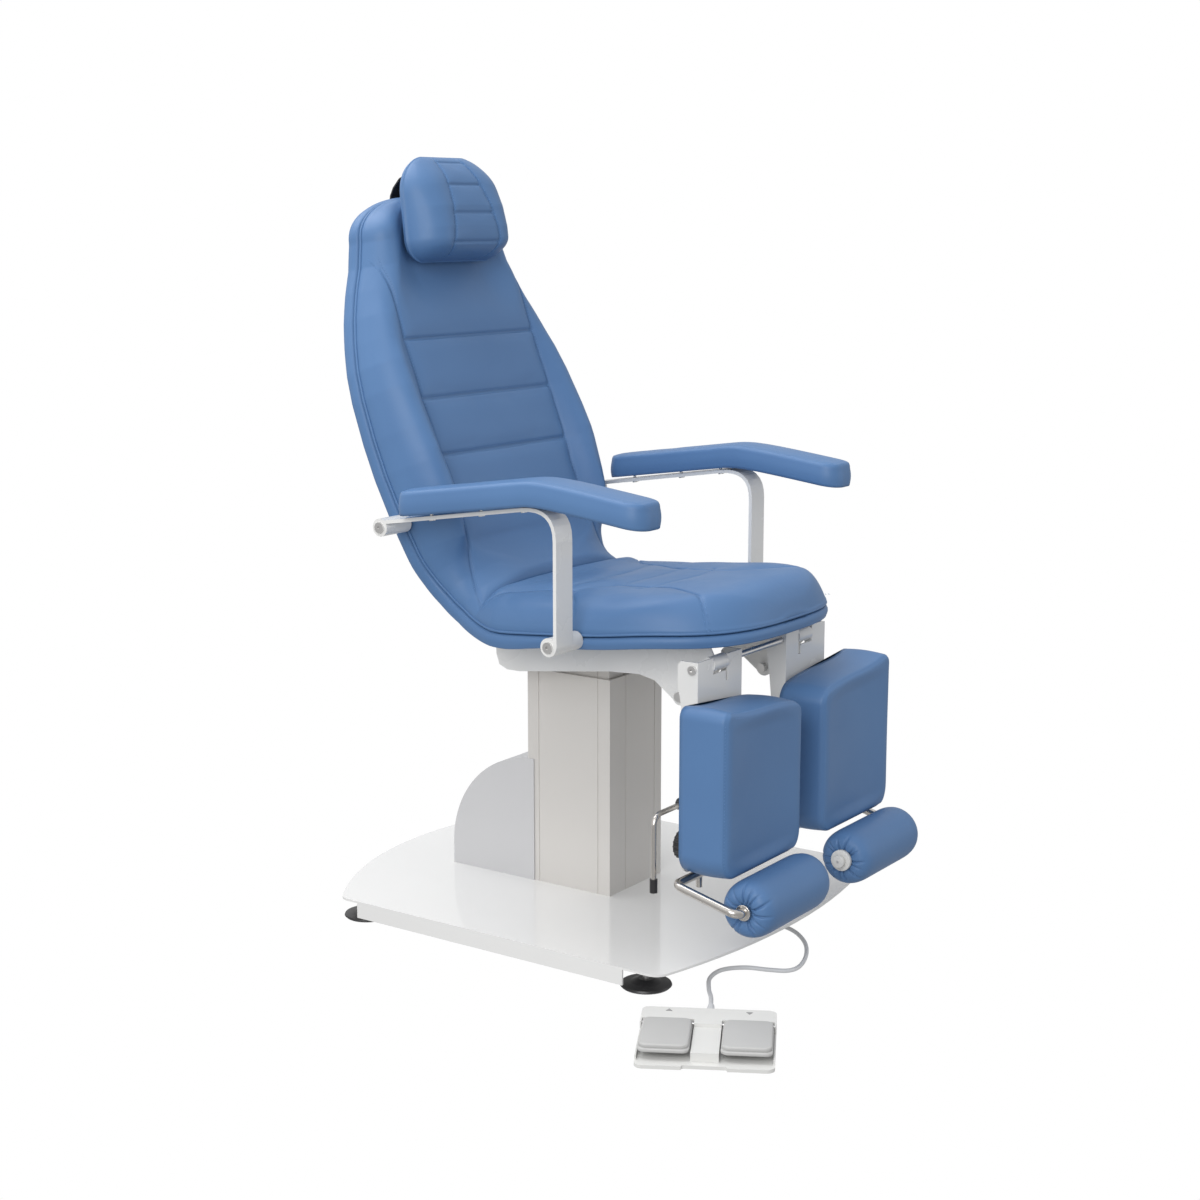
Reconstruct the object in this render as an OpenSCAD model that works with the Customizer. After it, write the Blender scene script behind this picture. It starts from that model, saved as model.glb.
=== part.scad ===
// Podiatry chair: electric lifting column on a steel base, one-piece seat and back,
// two hinged leg rests with sliding calf pads and foot rolls, and a foot control.
// +Z is up, the sitter faces -Y, the sitter's left hand is +X.

/* [Base] */
// Width of the base plate over its folded sides
base_w = 780; // [700:1:840]
// Thickness of the plate
base_t = 4; // [3:0.5:6]
// Height of the plate's top above the floor
base_top = 59; // [55:1:75]
// Depth of the folded sides, below the top face
skirt_h = 33; // [20:1:36]
// Reach of the plate in front of the column's centre
base_front = 461; // [445:1:500]
// Reach of the plate behind the column's centre
base_rear = 457; // [430:1:500]
// Radius of the curved front edge
front_edge_r = 1390; // [1100:10:2000]
// Radius of the curved rear edge
rear_edge_r = 640; // [600:10:1200]
// Radius of the plate's corners
corner_r = 30; // [20:1:60]
// Where the folded sides start, behind the column's centre
skirt_rear = 286; // [250:1:290]
// Where the folded sides end, in front of the column's centre
skirt_front = 330; // [280:1:345]
// Radius of a levelling foot
foot_r = 47; // [35:1:55]
// Sideways place of the levelling feet
foot_x = 310; // [280:1:330]
// Place of the levelling feet in front of and behind the column
foot_y = 328; // [300:1:345]

/* [Column] */
// Width of the column across the seat
column_w = 180; // [160:1:184]
// Depth of the column, front to back
column_d = 195; // [180:1:210]
// Wall of the column profiles
column_wall = 5; // [4:0.5:6]
// Height of the fixed column profile's top above the floor
column_top = 488; // [470:1:490]
// Travel of the lift
lift_travel = 300; // [200:10:300]
// Radius of the rear cover's curved side
cover_r = 203; // [180:1:206]
// Straight height of the rear cover below its curve
cover_straight = 45; // [40:1:60]
// Wall of the rear cover
cover_wall = 2; // [1.5:0.5:3]

/* [Seat and back] */
// Half width of the shell at its widest, across the back
shell_half_w = 294; // [285:1:300]
// Thickness of the shell with its padded band
shell_t = 30; // [26:1:32]
// Tilt of the seat, front up
seat_tilt = 4.5; // [3:0.5:5]
// Lean of the back from the vertical at the arms
back_lean = 21.5; // [19:0.5:23]
// Lean of the top of the back from the vertical
top_lean = 8; // [6:0.5:10]
// Radius of the bend between seat and back
hip_r = 240; // [225:1:250]
// Height of the back cushion's side bolsters
bolster_t = 96; // [80:1:102]
// Crown height of the seat cushion
seat_pad_t = 66; // [54:1:70]
// Width of the headrest pillow
pillow_w = 278; // [240:1:290]
// Height of the headrest pillow
pillow_h = 204; // [170:1:210]
// Thickness of the headrest pillow
pillow_t = 78; // [60:1:90]
// Travel of the headrest
headrest_travel = 50; // [20:5:60]

/* [Armrests] */
// Width of the armrest's flat bar
bar_w = 49; // [40:1:52]
// Thickness of the flat bar
bar_t = 7; // [5:0.5:8]
// Inner face of the bar from the chair's middle
bar_x = 310; // [306:1:316]
// Width of an arm pad
arm_pad_w = 86; // [70:1:90]
// Thickness of an arm pad
arm_pad_t = 46; // [36:1:50]
// Radius of the round bosses that carry the bar
boss_r = 17; // [14:0.5:19]

/* [Leg rests] */
// Outer width of the leg bracket
bracket_w = 150; // [144:1:156]
// Sheet of the bracket
bracket_t = 4; // [3:0.5:4]
// Depth of the bracket's flanges
flange_d = 42; // [38:1:42]
// Radius of the hinge shaft
hinge_pin_r = 6; // [5:0.25:7]
// Width of a calf pad
calf_pad_w = 245; // [220:1:250]
// Thickness of a calf pad
calf_pad_t = 98; // [80:1:98]
// Height of a calf pad at its outer side
calf_pad_h = 306; // [290:1:312]
// Travel of the calf pad along the bracket
calf_travel = 40; // [20:1:40]
// Radius of the rods that carry the foot roll
rod_r = 6; // [5:0.25:6]
// Travel of the foot roll's rods
roll_travel = 60; // [30:1:60]
// Radius of a foot roll
roll_r = 52; // [40:1:54]
// Length of a foot roll
roll_l = 252; // [220:1:256]
// Radius of the bent tube through the foot roll
tube_r = 8; // [6:0.5:8]
// Radius of the ribbed clamp knob
knob_r = 27; // [22:1:28]

/* [Foot control] */
// Width of the foot control
control_w = 228; // [220:1:250]
// Depth of the foot control
control_d = 198; // [190:1:220]
// Height of the foot control's rear ridge
control_h = 30; // [28:1:36]
// Width of one pedal
pedal_w = 86; // [78:1:88]
// Depth of one pedal
pedal_d = 122; // [106:1:126]
// Diameter of the cable
cable_d = 8; // [6:0.5:9]

/* [Hidden] */

// Colours
white_paint = [0.93, 0.93, 0.93];
blue_vinyl = [0.30, 0.45, 0.70];
aluminium = [0.78, 0.76, 0.74];
steel = [0.62, 0.61, 0.59];
black_plastic = [0.06, 0.06, 0.07];
light_grey = [0.82, 0.83, 0.85];

// Clearances and overruns
run_gap = 0.05;
seat_gap = 0.3;
over = 10;
// Facets of round pieces and of hull children
$fn = 48;
hull_fn = 32;

// Place of the column's centre from the middle of the whole outline
origin_x = 116.4;
origin_y = 122.05;

// Small helpers
function unit(v) = v / norm(v);
function lerp(a, b, t) = a + (b - a) * t;
function clamp01(t) = max(0, min(1, t));
function smooth(t) = let (c = clamp01(t)) c * c * (3 - 2 * c);
// Closed skin over a list of planar rings that all have the same number of points
module skin(rings) {
  n = len(rings[0]);
  m = len(rings);
  polyhedron(
    points = [for (ring = rings) for (p = ring) p],
    faces = concat(
      [for (i = [0:m - 2], j = [0:n - 1]) [i * n + j, (i + 1) * n + j, i * n + (j + 1) % n]],
      [for (i = [0:m - 2], j = [0:n - 1])
        [(i + 1) * n + j, (i + 1) * n + (j + 1) % n, i * n + (j + 1) % n]],
      [for (j = [1:n - 2]) [0, j, j + 1]],
      [for (j = [1:n - 2]) [(m - 1) * n, (m - 1) * n + j + 1, (m - 1) * n + j]]),
    convexity = 6);
}

// Round tube along straight runs with bends of radius bend_r
module bent_rod(pts, r, bend_r) {
  n = len(pts);
  dirs = [for (i = [0:n - 2]) unit(pts[i + 1] - pts[i])];
  cuts = [for (i = [0:n - 1]) i == 0 || i == n - 1 ? 0
    : bend_r * tan(acos(dirs[i - 1] * dirs[i]) / 2)];
  for (i = [0:n - 2])
    rod_between(pts[i] + dirs[i] * cuts[i], pts[i + 1] - dirs[i] * cuts[i + 1], r);
  for (i = [1:n - 2])
    rod_bend(pts[i], dirs[i - 1], dirs[i], r, bend_r, cuts[i]);
}

module rod_between(a, b, r) {
  d = b - a;
  z = unit(d);
  x = unit(abs(z[2]) < 0.9 ? cross([0, 0, 1], z) : cross([1, 0, 0], z));
  y = cross(z, x);
  multmatrix([[x[0], y[0], z[0], a[0]], [x[1], y[1], z[1], a[1]], [x[2], y[2], z[2], a[2]]])
    cylinder(h = norm(d), r = r);
}

module rod_bend(corner, d1, d2, r, bend_r, cut) {
  start = corner - d1 * cut;
  turn = acos(d1 * d2);
  centre = corner + unit(d2 - d1) * bend_r / cos(turn / 2);
  x = unit(start - centre);
  z = unit(cross(x, d1));
  multmatrix([[x[0], d1[0], z[0], centre[0]], [x[1], d1[1], z[1], centre[1]],
      [x[2], d1[2], z[2], centre[2]]])
    rotate_extrude(angle = turn) translate([bend_r, 0]) circle(r = r);
}

// Cylinder along X or Y between two places
module rod_x(x0, x1, y, z, r) {
  translate([min(x0, x1), y, z]) rotate([0, 90, 0]) cylinder(h = abs(x1 - x0), r = r);
}
module rod_y(x, y0, y1, z, r) {
  translate([x, max(y0, y1), z]) rotate([90, 0, 0]) cylinder(h = abs(y1 - y0), r = r);
}
// Block between two corners
module block(a, b) {
  translate([min(a[0], b[0]), min(a[1], b[1]), min(a[2], b[2])])
    cube([abs(b[0] - a[0]), abs(b[1] - a[1]), abs(b[2] - a[2])]);
}
// Side outline in (y, z), drawn across from x0 to x1
module across(x0, x1) {
  translate([x0, 0, 0]) rotate([90, 0, 90]) linear_extrude(height = x1 - x0) children();
}
// The sitter's left side as drawn, the right side mirrored
module on_side(side) {
  if (side > 0) children();
  else mirror([1, 0, 0]) children();
}
// Everything stands round the middle of the whole outline
module placed() {
  translate([origin_x, origin_y, 0]) children();
}

// Base

module plate_outline() {
  offset(r = corner_r, $fn = 64) offset(delta = -corner_r) intersection() {
    square([base_w, 4 * base_w], center = true);
    translate([0, front_edge_r - base_front]) circle(r = front_edge_r, $fn = 180);
    translate([0, base_rear - rear_edge_r]) circle(r = rear_edge_r, $fn = 120);
  }
}

module base_plate() {
  color(white_paint) placed() {
    translate([0, 0, base_top - base_t]) linear_extrude(height = base_t) plate_outline();
    for (side = [-1, 1]) on_side(side)
      block([base_w / 2 - base_t, -skirt_front, base_top - skirt_h],
        [base_w / 2, skirt_rear, base_top - base_t]);
  }
}

frame_h = 20;
rail_w = 44;
frame_z = base_top - base_t - frame_h;
stud_r = 6;
foot_h = 9;
foot_dome = 6;
nut_h = 8;
nut_r = 11;

module base_frame() {
  color(white_paint) placed() difference() {
    union() {
      for (side = [-1, 1]) on_side(side)
        block([foot_x - rail_w / 2, -foot_y - rail_w / 2, frame_z],
          [foot_x + rail_w / 2, foot_y + rail_w / 2, base_top - base_t]);
      block([-foot_x, -column_d / 2, frame_z], [foot_x, column_d / 2, base_top - base_t]);
    }
    for (x = [-foot_x, foot_x], y = [-foot_y, foot_y])
      translate([x, y, frame_z - over]) cylinder(h = frame_h + 2 * over, r = stud_r + run_gap);
  }
}

module levelling_feet() {
  color(black_plastic) placed() for (x = [-foot_x, foot_x], y = [-foot_y, foot_y])
    translate([x, y, 0]) rotate_extrude(convexity = 4) polygon([
      [0, 0], [foot_r - foot_dome / 2, 0], [foot_r, foot_dome / 2], [foot_r - foot_dome / 4, foot_dome],
      [foot_r * 0.6, foot_h], [nut_r * 1.3, foot_h + foot_dome],
      [stud_r + run_gap, foot_h + foot_dome], [stud_r + run_gap, foot_dome], [0, foot_dome]]);
}

module foot_studs() {
  color(steel) placed() for (x = [-foot_x, foot_x], y = [-foot_y, foot_y])
    translate([x, y, 0]) {
      translate([0, 0, foot_dome]) cylinder(h = base_top - base_t - foot_dome - seat_gap, r = stud_r);
      translate([0, 0, frame_z - nut_h]) cylinder(h = nut_h, r = nut_r, $fn = 6);
    }
}

// Column

inner_gap = 3;
inner_w = column_w - 2 * (column_wall + inner_gap);
inner_d = column_d - 2 * (column_wall + inner_gap);
head_z = 545;
head_t = 6;
inner_foot = 40;
inner_bottom = base_top + inner_foot;
groove_w = 3;
groove_d = 1.2;
// Shares of the width where the profile's long grooves run
side_groove_shares = [-0.36, 0.36];
front_groove_shares = [-0.2, 0.36];

module column_tube(w, d, wall) {
  difference() {
    square([w, d], center = true);
    square([w - 2 * wall, d - 2 * wall], center = true);
    for (k = side_groove_shares, x = [-w / 2, w / 2])
      translate([x, k * d]) square([2 * groove_d, groove_w], center = true);
    for (k = front_groove_shares, y = [-d / 2, d / 2])
      translate([k * w, y]) square([groove_w, 2 * groove_d], center = true);
  }
}

module column_outer() {
  color(aluminium) placed() translate([0, 0, base_top])
    linear_extrude(height = column_top - base_top) column_tube(column_w, column_d, column_wall);
}

module column_inner() {
  color(aluminium) placed() translate([0, 0, inner_bottom])
    linear_extrude(height = head_z - inner_bottom) column_tube(inner_w, inner_d, column_wall);
}

glide_h = 80;
glide_w = 24;
// Shares of the profile's depth and width where the strips stand
glide_shares = [-0.28, 0.08];
glide_shift_share = 0.1;
module column_glides() {
  color("white") placed() for (z = [column_top - glide_h - over], k = glide_shares) {
    for (x = [-1, 1]) glide_strip(x * inner_w / 2, k * inner_d, z, x, 0);
    for (y = [-1, 1]) glide_strip((k + glide_shift_share) * inner_w, y * inner_d / 2, z, 0, y);
  }
}
// One glide strip that stands against the outer profile's inside
module glide_strip(x, y, z, nx, ny) {
  t = inner_gap - run_gap;
  off = run_gap + t / 2;
  translate([x + nx * off, y + ny * off, z + glide_h / 2])
    cube([nx != 0 ? t : glide_w, ny != 0 ? t : glide_w, glide_h], center = true);
}

actuator_r = 24;
actuator_rod_r = 15;
actuator_h = 330;
motor_w = 62;
motor_h = 70;
module lift_actuator() {
  color(light_grey) placed() translate([0, 0, base_top]) difference() {
    union() {
      cylinder(h = actuator_h, r = actuator_r);
      block([-motor_w / 2, -motor_w / 2, 0], [motor_w / 2, motor_w, motor_h / 2]);
    }
    translate([0, 0, motor_h / 2]) cylinder(h = actuator_h, r = actuator_rod_r + run_gap);
  }
}
module lift_rod() {
  color(steel) placed() translate([0, 0, base_top + motor_h / 2 + seat_gap])
    cylinder(h = head_z - base_top - motor_h / 2 - seat_gap, r = actuator_rod_r);
}

cover_lap = 15;
cover_front = column_d / 2 - cover_lap;
cover_gap = 0.4;
module cover_profile(r, drop) {
  intersection() {
    union() {
      translate([cover_front, base_top]) square([r, cover_straight]);
      translate([cover_front, base_top + cover_straight]) circle(r = r, $fn = 120);
    }
    translate([cover_front, base_top]) square([r, r + cover_straight - drop]);
  }
}
module rear_cover() {
  half_w = column_w / 2 + cover_gap + cover_wall;
  color(light_grey) placed() difference() {
    across(-half_w, half_w) cover_profile(cover_r, 0);
    across(-half_w + cover_wall, half_w - cover_wall) difference() {
      translate([0, -over]) cover_profile(cover_r - cover_wall, 0);
      translate([0, 0]) square([column_d / 2 + cover_gap, base_top], center = false);
    }
    block([-column_w / 2 - cover_gap, 0, 0],
      [column_w / 2 + cover_gap, column_d / 2 + cover_gap, column_top]);
  }
}

box_w = 130;
box_d = 60;
box_h = 160;
module control_box() {
  color(light_grey) placed() block([-box_w / 2, column_d / 2 + over, base_top],
    [box_w / 2, column_d / 2 + over + box_d, base_top + box_h]);
}

// Foot control, drawn with its own width along X and its pedals towards -Y

control_x = -486;
control_y = -565;
control_turn = -61;
slab_z = 3;
slab_t = 6;
web_w = 46;
ridge_d = 50;
lip_d = 22;
control_r = 14;
pedal_z = 24;
pedal_t = 8;
pin_r = 2.5;
pin_z = 25;
pin_lap = 8;
pin_y = control_d / 2 - ridge_d - pin_lap;
pedal_side_gap = 2;
pedal_x = web_w / 2 + pedal_side_gap + pedal_w / 2;
cheek_t = 2.5;
rail_top = 17;
pin_into = 10;
pedal_step = 3;

module control_placed() {
  placed() translate([control_x, control_y, 0]) rotate([0, 0, control_turn]) children();
}

module rounded_plan(w, d, r) {
  hull() for (x = [-1, 1], y = [-1, 1])
    translate([x * (w / 2 - r), y * (d / 2 - r)]) circle(r = r, $fn = hull_fn);
}

module control_housing() {
  color("white") control_placed() difference() {
    union() {
      // Thin slab with a shallow bay between the pedals at the front
      translate([0, 0, slab_z]) linear_extrude(height = slab_t) difference() {
        rounded_plan(control_w, control_d, control_r);
        translate([0, -control_d / 2]) rounded_plan(web_w + 2 * control_r, 2 * slab_t, slab_t / 2);
      }
      // Rear ridge
      translate([0, 0, slab_z]) linear_extrude(height = control_h - slab_z) intersection() {
        rounded_plan(control_w, control_d, control_r);
        translate([-control_w, control_d / 2 - ridge_d]) square([2 * control_w, ridge_d]);
      }
      // Middle web between the pedals
      block([-web_w / 2, -control_d / 2 + lip_d, slab_z], [web_w / 2, control_d / 2 - ridge_d, pedal_z]);
      block([-web_w / 2, pin_y - 4 * pin_r, slab_z], [web_w / 2, control_d / 2 - ridge_d, control_h]);
      // Cheeks that hold the pedal pins at the outer sides
      for (side = [-1, 1]) on_side(side)
        block([pedal_x + pedal_w / 2 + seat_gap, pin_y - 4 * pin_r, slab_z],
          [pedal_x + pedal_w / 2 + seat_gap + cheek_t, control_d / 2 - ridge_d, control_h]);
      // Low rails along the pedals' outer sides
      for (side = [-1, 1]) on_side(side)
        block([pedal_x + pedal_w / 2 + seat_gap, lip_d - control_d / 2, slab_z],
          [pedal_x + pedal_w / 2 + seat_gap + cheek_t, control_d / 2 - ridge_d, rail_top]);
    }
    rod_x(-control_w / 2, control_w / 2, pin_y, pin_z, pin_r + run_gap);
  }
}

module control_feet() {
  color(black_plastic) control_placed() for (x = [-1, 1], y = [-1, 1])
    translate([x * (control_w / 2 - 2 * control_r), y * (control_d / 2 - 2 * control_r), 0])
      cylinder(h = slab_z, r = control_r / 2);
}

module pedal_pins() {
  color(steel) control_placed() for (side = [-1, 1])
    rod_x(side * (web_w / 2 - pin_into), side * (pedal_x + pedal_w / 2 + seat_gap + cheek_t),
      pin_y, pin_z, pin_r);
}

module pedal(side) {
  y_front = pin_y + 2 * pin_r - pedal_d;
  color(light_grey) control_placed() translate([side * pedal_x, 0, 0]) difference() {
    union() {
      translate([0, y_front + pedal_d / 2, pedal_z]) linear_extrude(height = pedal_t)
        rounded_plan(pedal_w, pedal_d, control_r * 0.7);
      translate([0, y_front + pedal_d / 2, pedal_z - pedal_step]) linear_extrude(height = 2 * pedal_step)
        rounded_plan(pedal_w - 2 * pedal_step, pedal_d - 2 * pedal_step, control_r * 0.5);
      block([-pedal_w / 2 + seat_gap, pin_y - 2 * pin_r, pin_z - 2 * pin_r],
        [pedal_w / 2 - seat_gap, pin_y + 2 * pin_r, pedal_z + pin_r]);
    }
    rod_x(-pedal_w, pedal_w, pin_y, pin_z, pin_r + run_gap);
  }
}

// Seat frame and hinge, drawn for both sides

hinge_y = -371;
hinge_z = 569;
plate_x = 148;
plate_t = 4;
sleeve_r = 14;
sleeve_x = 129;
sleeve_l = 50;
lobe_y = -295;
lobe_z = 496;
lobe_r = 17;
stop_r = 6;
shaft_end = 231.3;
// Rear and lower outline of a frame side, lengths from the column and below its head
frame_line = [[126, head_t], [126, -20], [119, -41], [100, -49], [71, -49], [-143, -22], [-206, -19],
  [-239, -26]];
plate_rear = -30;
screw_rim = 2;

module frame_side() {
  union() {
    polygon(concat([for (p = frame_line) [p[0], head_z + p[1]]],
      [[lobe_y + plate_t / 2, lobe_z - lobe_r], [lobe_y, lobe_z], [hinge_y, hinge_z],
        [hinge_y + sleeve_r, under_z(hinge_y + sleeve_r)], [plate_rear, under_z(plate_rear)],
        [column_d / 2, head_z + head_t]]));
    hull() {
      translate([lobe_y, lobe_z]) circle(r = lobe_r, $fn = hull_fn);
      translate([hinge_y, hinge_z]) circle(r = sleeve_r, $fn = hull_fn);
    }
  }
}
// Height of the shell's straight underside at y
function under_z(y) = seat_front_z - (y - seat_front_y) * tan(seat_tilt);

module seat_frame() {
  color(white_paint) placed() difference() {
    union() {
      for (side = [-1, 1]) on_side(side) {
        across(plate_x, plate_x + plate_t) frame_side();
        rod_x(sleeve_x, sleeve_x + sleeve_l, hinge_y, hinge_z, sleeve_r);
      }
      // Plate under the shell
      across(-plate_x, plate_x) polygon([
        [top_plate_front, under_z(top_plate_front)], [plate_rear, under_z(plate_rear)],
        [plate_rear, under_z(plate_rear) - plate_t], [top_plate_front, under_z(top_plate_front) - plate_t]]);
      // Head plate on the column
      block([-plate_x, -column_d / 2, head_z], [plate_x, column_d / 2, head_z + head_t]);
      // Cross member between the head plate and the plate above
      for (y = cross_ys)
        block([-plate_x, y - plate_t / 2, head_z + plate_t / 2],
          [plate_x, y + plate_t / 2, under_z(y) - plate_t / 2]);
    }
    for (side = [-1, 1]) on_side(side) {
      rod_x(sleeve_x - over, sleeve_x + sleeve_l + over, hinge_y, hinge_z, hinge_pin_r);
      rod_x(plate_x - over, plate_x + plate_t + over, lobe_y, lobe_z, stop_r);
    }
  }
}
top_plate_front = -330;
cross_ys = [-column_d / 2 + plate_t, plate_rear - plate_t];

module stop_bolts() {
  color(steel) placed() for (side = [-1, 1]) on_side(side) {
    rod_x(plate_x - 3 * plate_t, plate_x + plate_t, lobe_y, lobe_z, stop_r);
    rod_x(plate_x + plate_t, plate_x + 3 * plate_t, lobe_y, lobe_z, 1.5 * stop_r);
    rod_x(plate_x - 3 * plate_t, plate_x, lobe_y, lobe_z, 1.5 * stop_r);
  }
}

module hinge_shaft() {
  color(steel) placed() rod_x(-shaft_end, shaft_end, hinge_y, hinge_z, hinge_pin_r);
}
screw_head_t = 5;
module hinge_screws() {
  color(steel) placed() for (side = [-1, 1]) on_side(side) difference() {
    rod_x(shaft_end, shaft_end + screw_head_t, hinge_y, hinge_z, hinge_pin_r + screw_rim);
    hex_socket(shaft_end + screw_head_t, hinge_y, hinge_z, hinge_pin_r / 2);
  }
}
// Hexagon socket sunk into an outer face
socket_depth = 2.5;
module hex_socket(x, y, z, r) {
  translate([x - socket_depth, y, z]) rotate([0, 90, 0]) cylinder(h = 2 * socket_depth, r = r, $fn = 6);
}

// Seat and back, one curved board seen from the side as a path of straight runs and bends

seat_front_y = -447.7;
seat_front_z = 603.3;
seat_l = 457.3;
back_l = 356.3;
top_bend_l = 255;
top_l = 91;
hip_turn = 90 - back_lean + seat_tilt;
hip_l = hip_r * hip_turn * PI / 180;
top_turn = back_lean - top_lean;
top_r = top_bend_l / (top_turn * PI / 180);
shell_l = seat_l + hip_l + back_l + top_bend_l + top_l;

// Heading of the path at length s
function heading(s) =
  s < seat_l ? -seat_tilt
  : s < seat_l + hip_l ? -seat_tilt + (s - seat_l) / hip_r * 180 / PI
  : s < seat_l + hip_l + back_l ? 90 - back_lean
  : s < seat_l + hip_l + back_l + top_bend_l
    ? 90 - back_lean + (s - seat_l - hip_l - back_l) / top_r * 180 / PI
  : 90 - top_lean;
function along(p, a, l) = p + l * [cos(a), sin(a)];
function bend_from(p, a0, a1, r) = p + r * [sin(a1) - sin(a0), cos(a0) - cos(a1)];
hip_start = along([seat_front_y, seat_front_z], -seat_tilt, seat_l);
hip_end = bend_from(hip_start, -seat_tilt, 90 - back_lean, hip_r);
bend_start = along(hip_end, 90 - back_lean, back_l);
bend_end = bend_from(bend_start, 90 - back_lean, 90 - top_lean, top_r);
function path_at(s) =
  s < seat_l ? along([seat_front_y, seat_front_z], -seat_tilt, s)
  : s < seat_l + hip_l ? bend_from(hip_start, -seat_tilt, heading(s), hip_r)
  : s < seat_l + hip_l + back_l ? along(hip_end, 90 - back_lean, s - seat_l - hip_l)
  : s < seat_l + hip_l + back_l + top_bend_l ? bend_from(bend_start, 90 - back_lean, heading(s), top_r)
  : along(bend_end, 90 - top_lean, s - seat_l - hip_l - back_l - top_bend_l);
// Point at length s, sideways x, height h over the outer face
function board_point(s, x, h) =
  let (p = path_at(s), a = heading(s)) [x, p[0] - h * sin(a), p[1] + h * cos(a)];

// Half width along the path, as [share of the length, share of the widest half width]
half_width_shares = [[0, 0.93], [0.218, 0.93], [0.293, 0.94], [0.341, 0.925], [0.375, 0.88],
  [0.409, 0.84], [0.444, 0.84], [0.478, 0.87], [0.505, 0.905], [0.546, 0.945], [0.573, 0.966],
  [0.625, 0.995], [0.672, 1], [0.728, 0.985], [0.764, 0.955], [0.8, 0.905], [0.835, 0.85],
  [0.871, 0.78], [0.904, 0.71], [0.939, 0.672], [1, 0.655]];
front_round = 330;
front_power = 3;
top_round = 66;
top_power = 2.2;
function linear_at(tab, t, i = 0) =
  i >= len(tab) - 2 || t <= tab[i + 1][0]
    ? lerp(tab[i][1], tab[i + 1][1], clamp01((t - tab[i][0]) / (tab[i + 1][0] - tab[i][0])))
    : linear_at(tab, t, i + 1);
function rounding(d, span, power) =
  d >= span ? 1 : pow(max(0, 1 - pow((span - d) / span, power)), 1 / power);
function half_width(s) = shell_half_w * linear_at(half_width_shares, s / shell_l)
  * rounding(s, front_round, front_power) * rounding(shell_l - s, top_round, top_power);

// Closed pad between a lower and an upper grid of points, rows along and columns across
module grid_solid(low, high) {
  rows = len(low);
  cols = len(low[0]);
  n = rows * cols;
  function at(i, j) = i * cols + j;
  polyhedron(
    points = concat([for (row = low) for (p = row) p], [for (row = high) for (p = row) p]),
    faces = concat(
      [for (i = [0:rows - 2], j = [0:cols - 2]) [at(i, j), at(i, j + 1), at(i + 1, j + 1)]],
      [for (i = [0:rows - 2], j = [0:cols - 2]) [at(i, j), at(i + 1, j + 1), at(i + 1, j)]],
      [for (i = [0:rows - 2], j = [0:cols - 2]) [n + at(i, j), n + at(i + 1, j + 1), n + at(i, j + 1)]],
      [for (i = [0:rows - 2], j = [0:cols - 2]) [n + at(i, j), n + at(i + 1, j), n + at(i + 1, j + 1)]],
      [for (i = [0:rows - 2]) [at(i, 0), at(i + 1, 0), n + at(i + 1, 0)]],
      [for (i = [0:rows - 2]) [at(i, 0), n + at(i + 1, 0), n + at(i, 0)]],
      [for (i = [0:rows - 2]) [at(i + 1, cols - 1), at(i, cols - 1), n + at(i, cols - 1)]],
      [for (i = [0:rows - 2]) [at(i + 1, cols - 1), n + at(i, cols - 1), n + at(i + 1, cols - 1)]],
      [for (j = [0:cols - 2]) [at(0, j + 1), at(0, j), n + at(0, j)]],
      [for (j = [0:cols - 2]) [at(0, j + 1), n + at(0, j), n + at(0, j + 1)]],
      [for (j = [0:cols - 2]) [at(rows - 1, j), at(rows - 1, j + 1), n + at(rows - 1, j + 1)]],
      [for (j = [0:cols - 2]) [at(rows - 1, j), n + at(rows - 1, j + 1), n + at(rows - 1, j)]]),
    convexity = 8);
}

end_inset = 1;
function shell_rows() = concat(
  [for (k = [0, 0.01, 0.04, 0.1, 0.2, 0.35, 0.55, 0.75]) end_inset + k * front_round],
  [front_round, seat_l],
  [for (i = [1:24]) seat_l + hip_l * i / 24],
  [for (i = [1:3]) seat_l + hip_l + back_l * i / 3],
  [for (i = [1:6]) seat_l + hip_l + back_l + top_bend_l * i / 6],
  [for (k = [0.75, 0.5, 0.3, 0.15, 0.05]) shell_l - k * top_round], [shell_l - end_inset]);
shell_cols = [-1, -0.5, 0, 0.5, 1];

module seat_shell() {
  rows = shell_rows();
  color(blue_vinyl) placed() grid_solid(
    [for (s = rows) [for (t = shell_cols) board_point(s, t * half_width(s), 0)]],
    [for (s = rows) [for (t = shell_cols) board_point(s, t * half_width(s), shell_t)]]);
}

// Cushions on the shell
rim_inset = 2;
rim_h = 10;
cushion_base = shell_t + seat_gap;
crease_rim = 554;
crease_bow = 14;
function crease_at(t) = crease_rim + crease_bow * (1 - t * t);
// Height of a rounded edge at distance d, with radius r, as a share of the full height
function edge_share(d, r) = d >= r ? 1 : sqrt(max(0, 1 - pow((r - d) / r, 2)));
// Depth share of a stitched channel at distance d from its line
function channel(d, w) = abs(d) >= w ? 0 : 1 - abs(d) / w;

cushion_cols = [-1, -0.985, -0.95, -0.88, -0.78, -0.69, -0.66, -0.63, -0.42, -0.2, 0,
  0.2, 0.42, 0.63, 0.66, 0.69, 0.78, 0.88, 0.95, 0.985, 1];
seam_share = 0.66;
seam_w = 0.04;
seam_depth = 6;
channel_w = 9;

seat_edge_r = 40;
front_edge_fall = 62;
seat_channels = [230, 330, 440];
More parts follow.
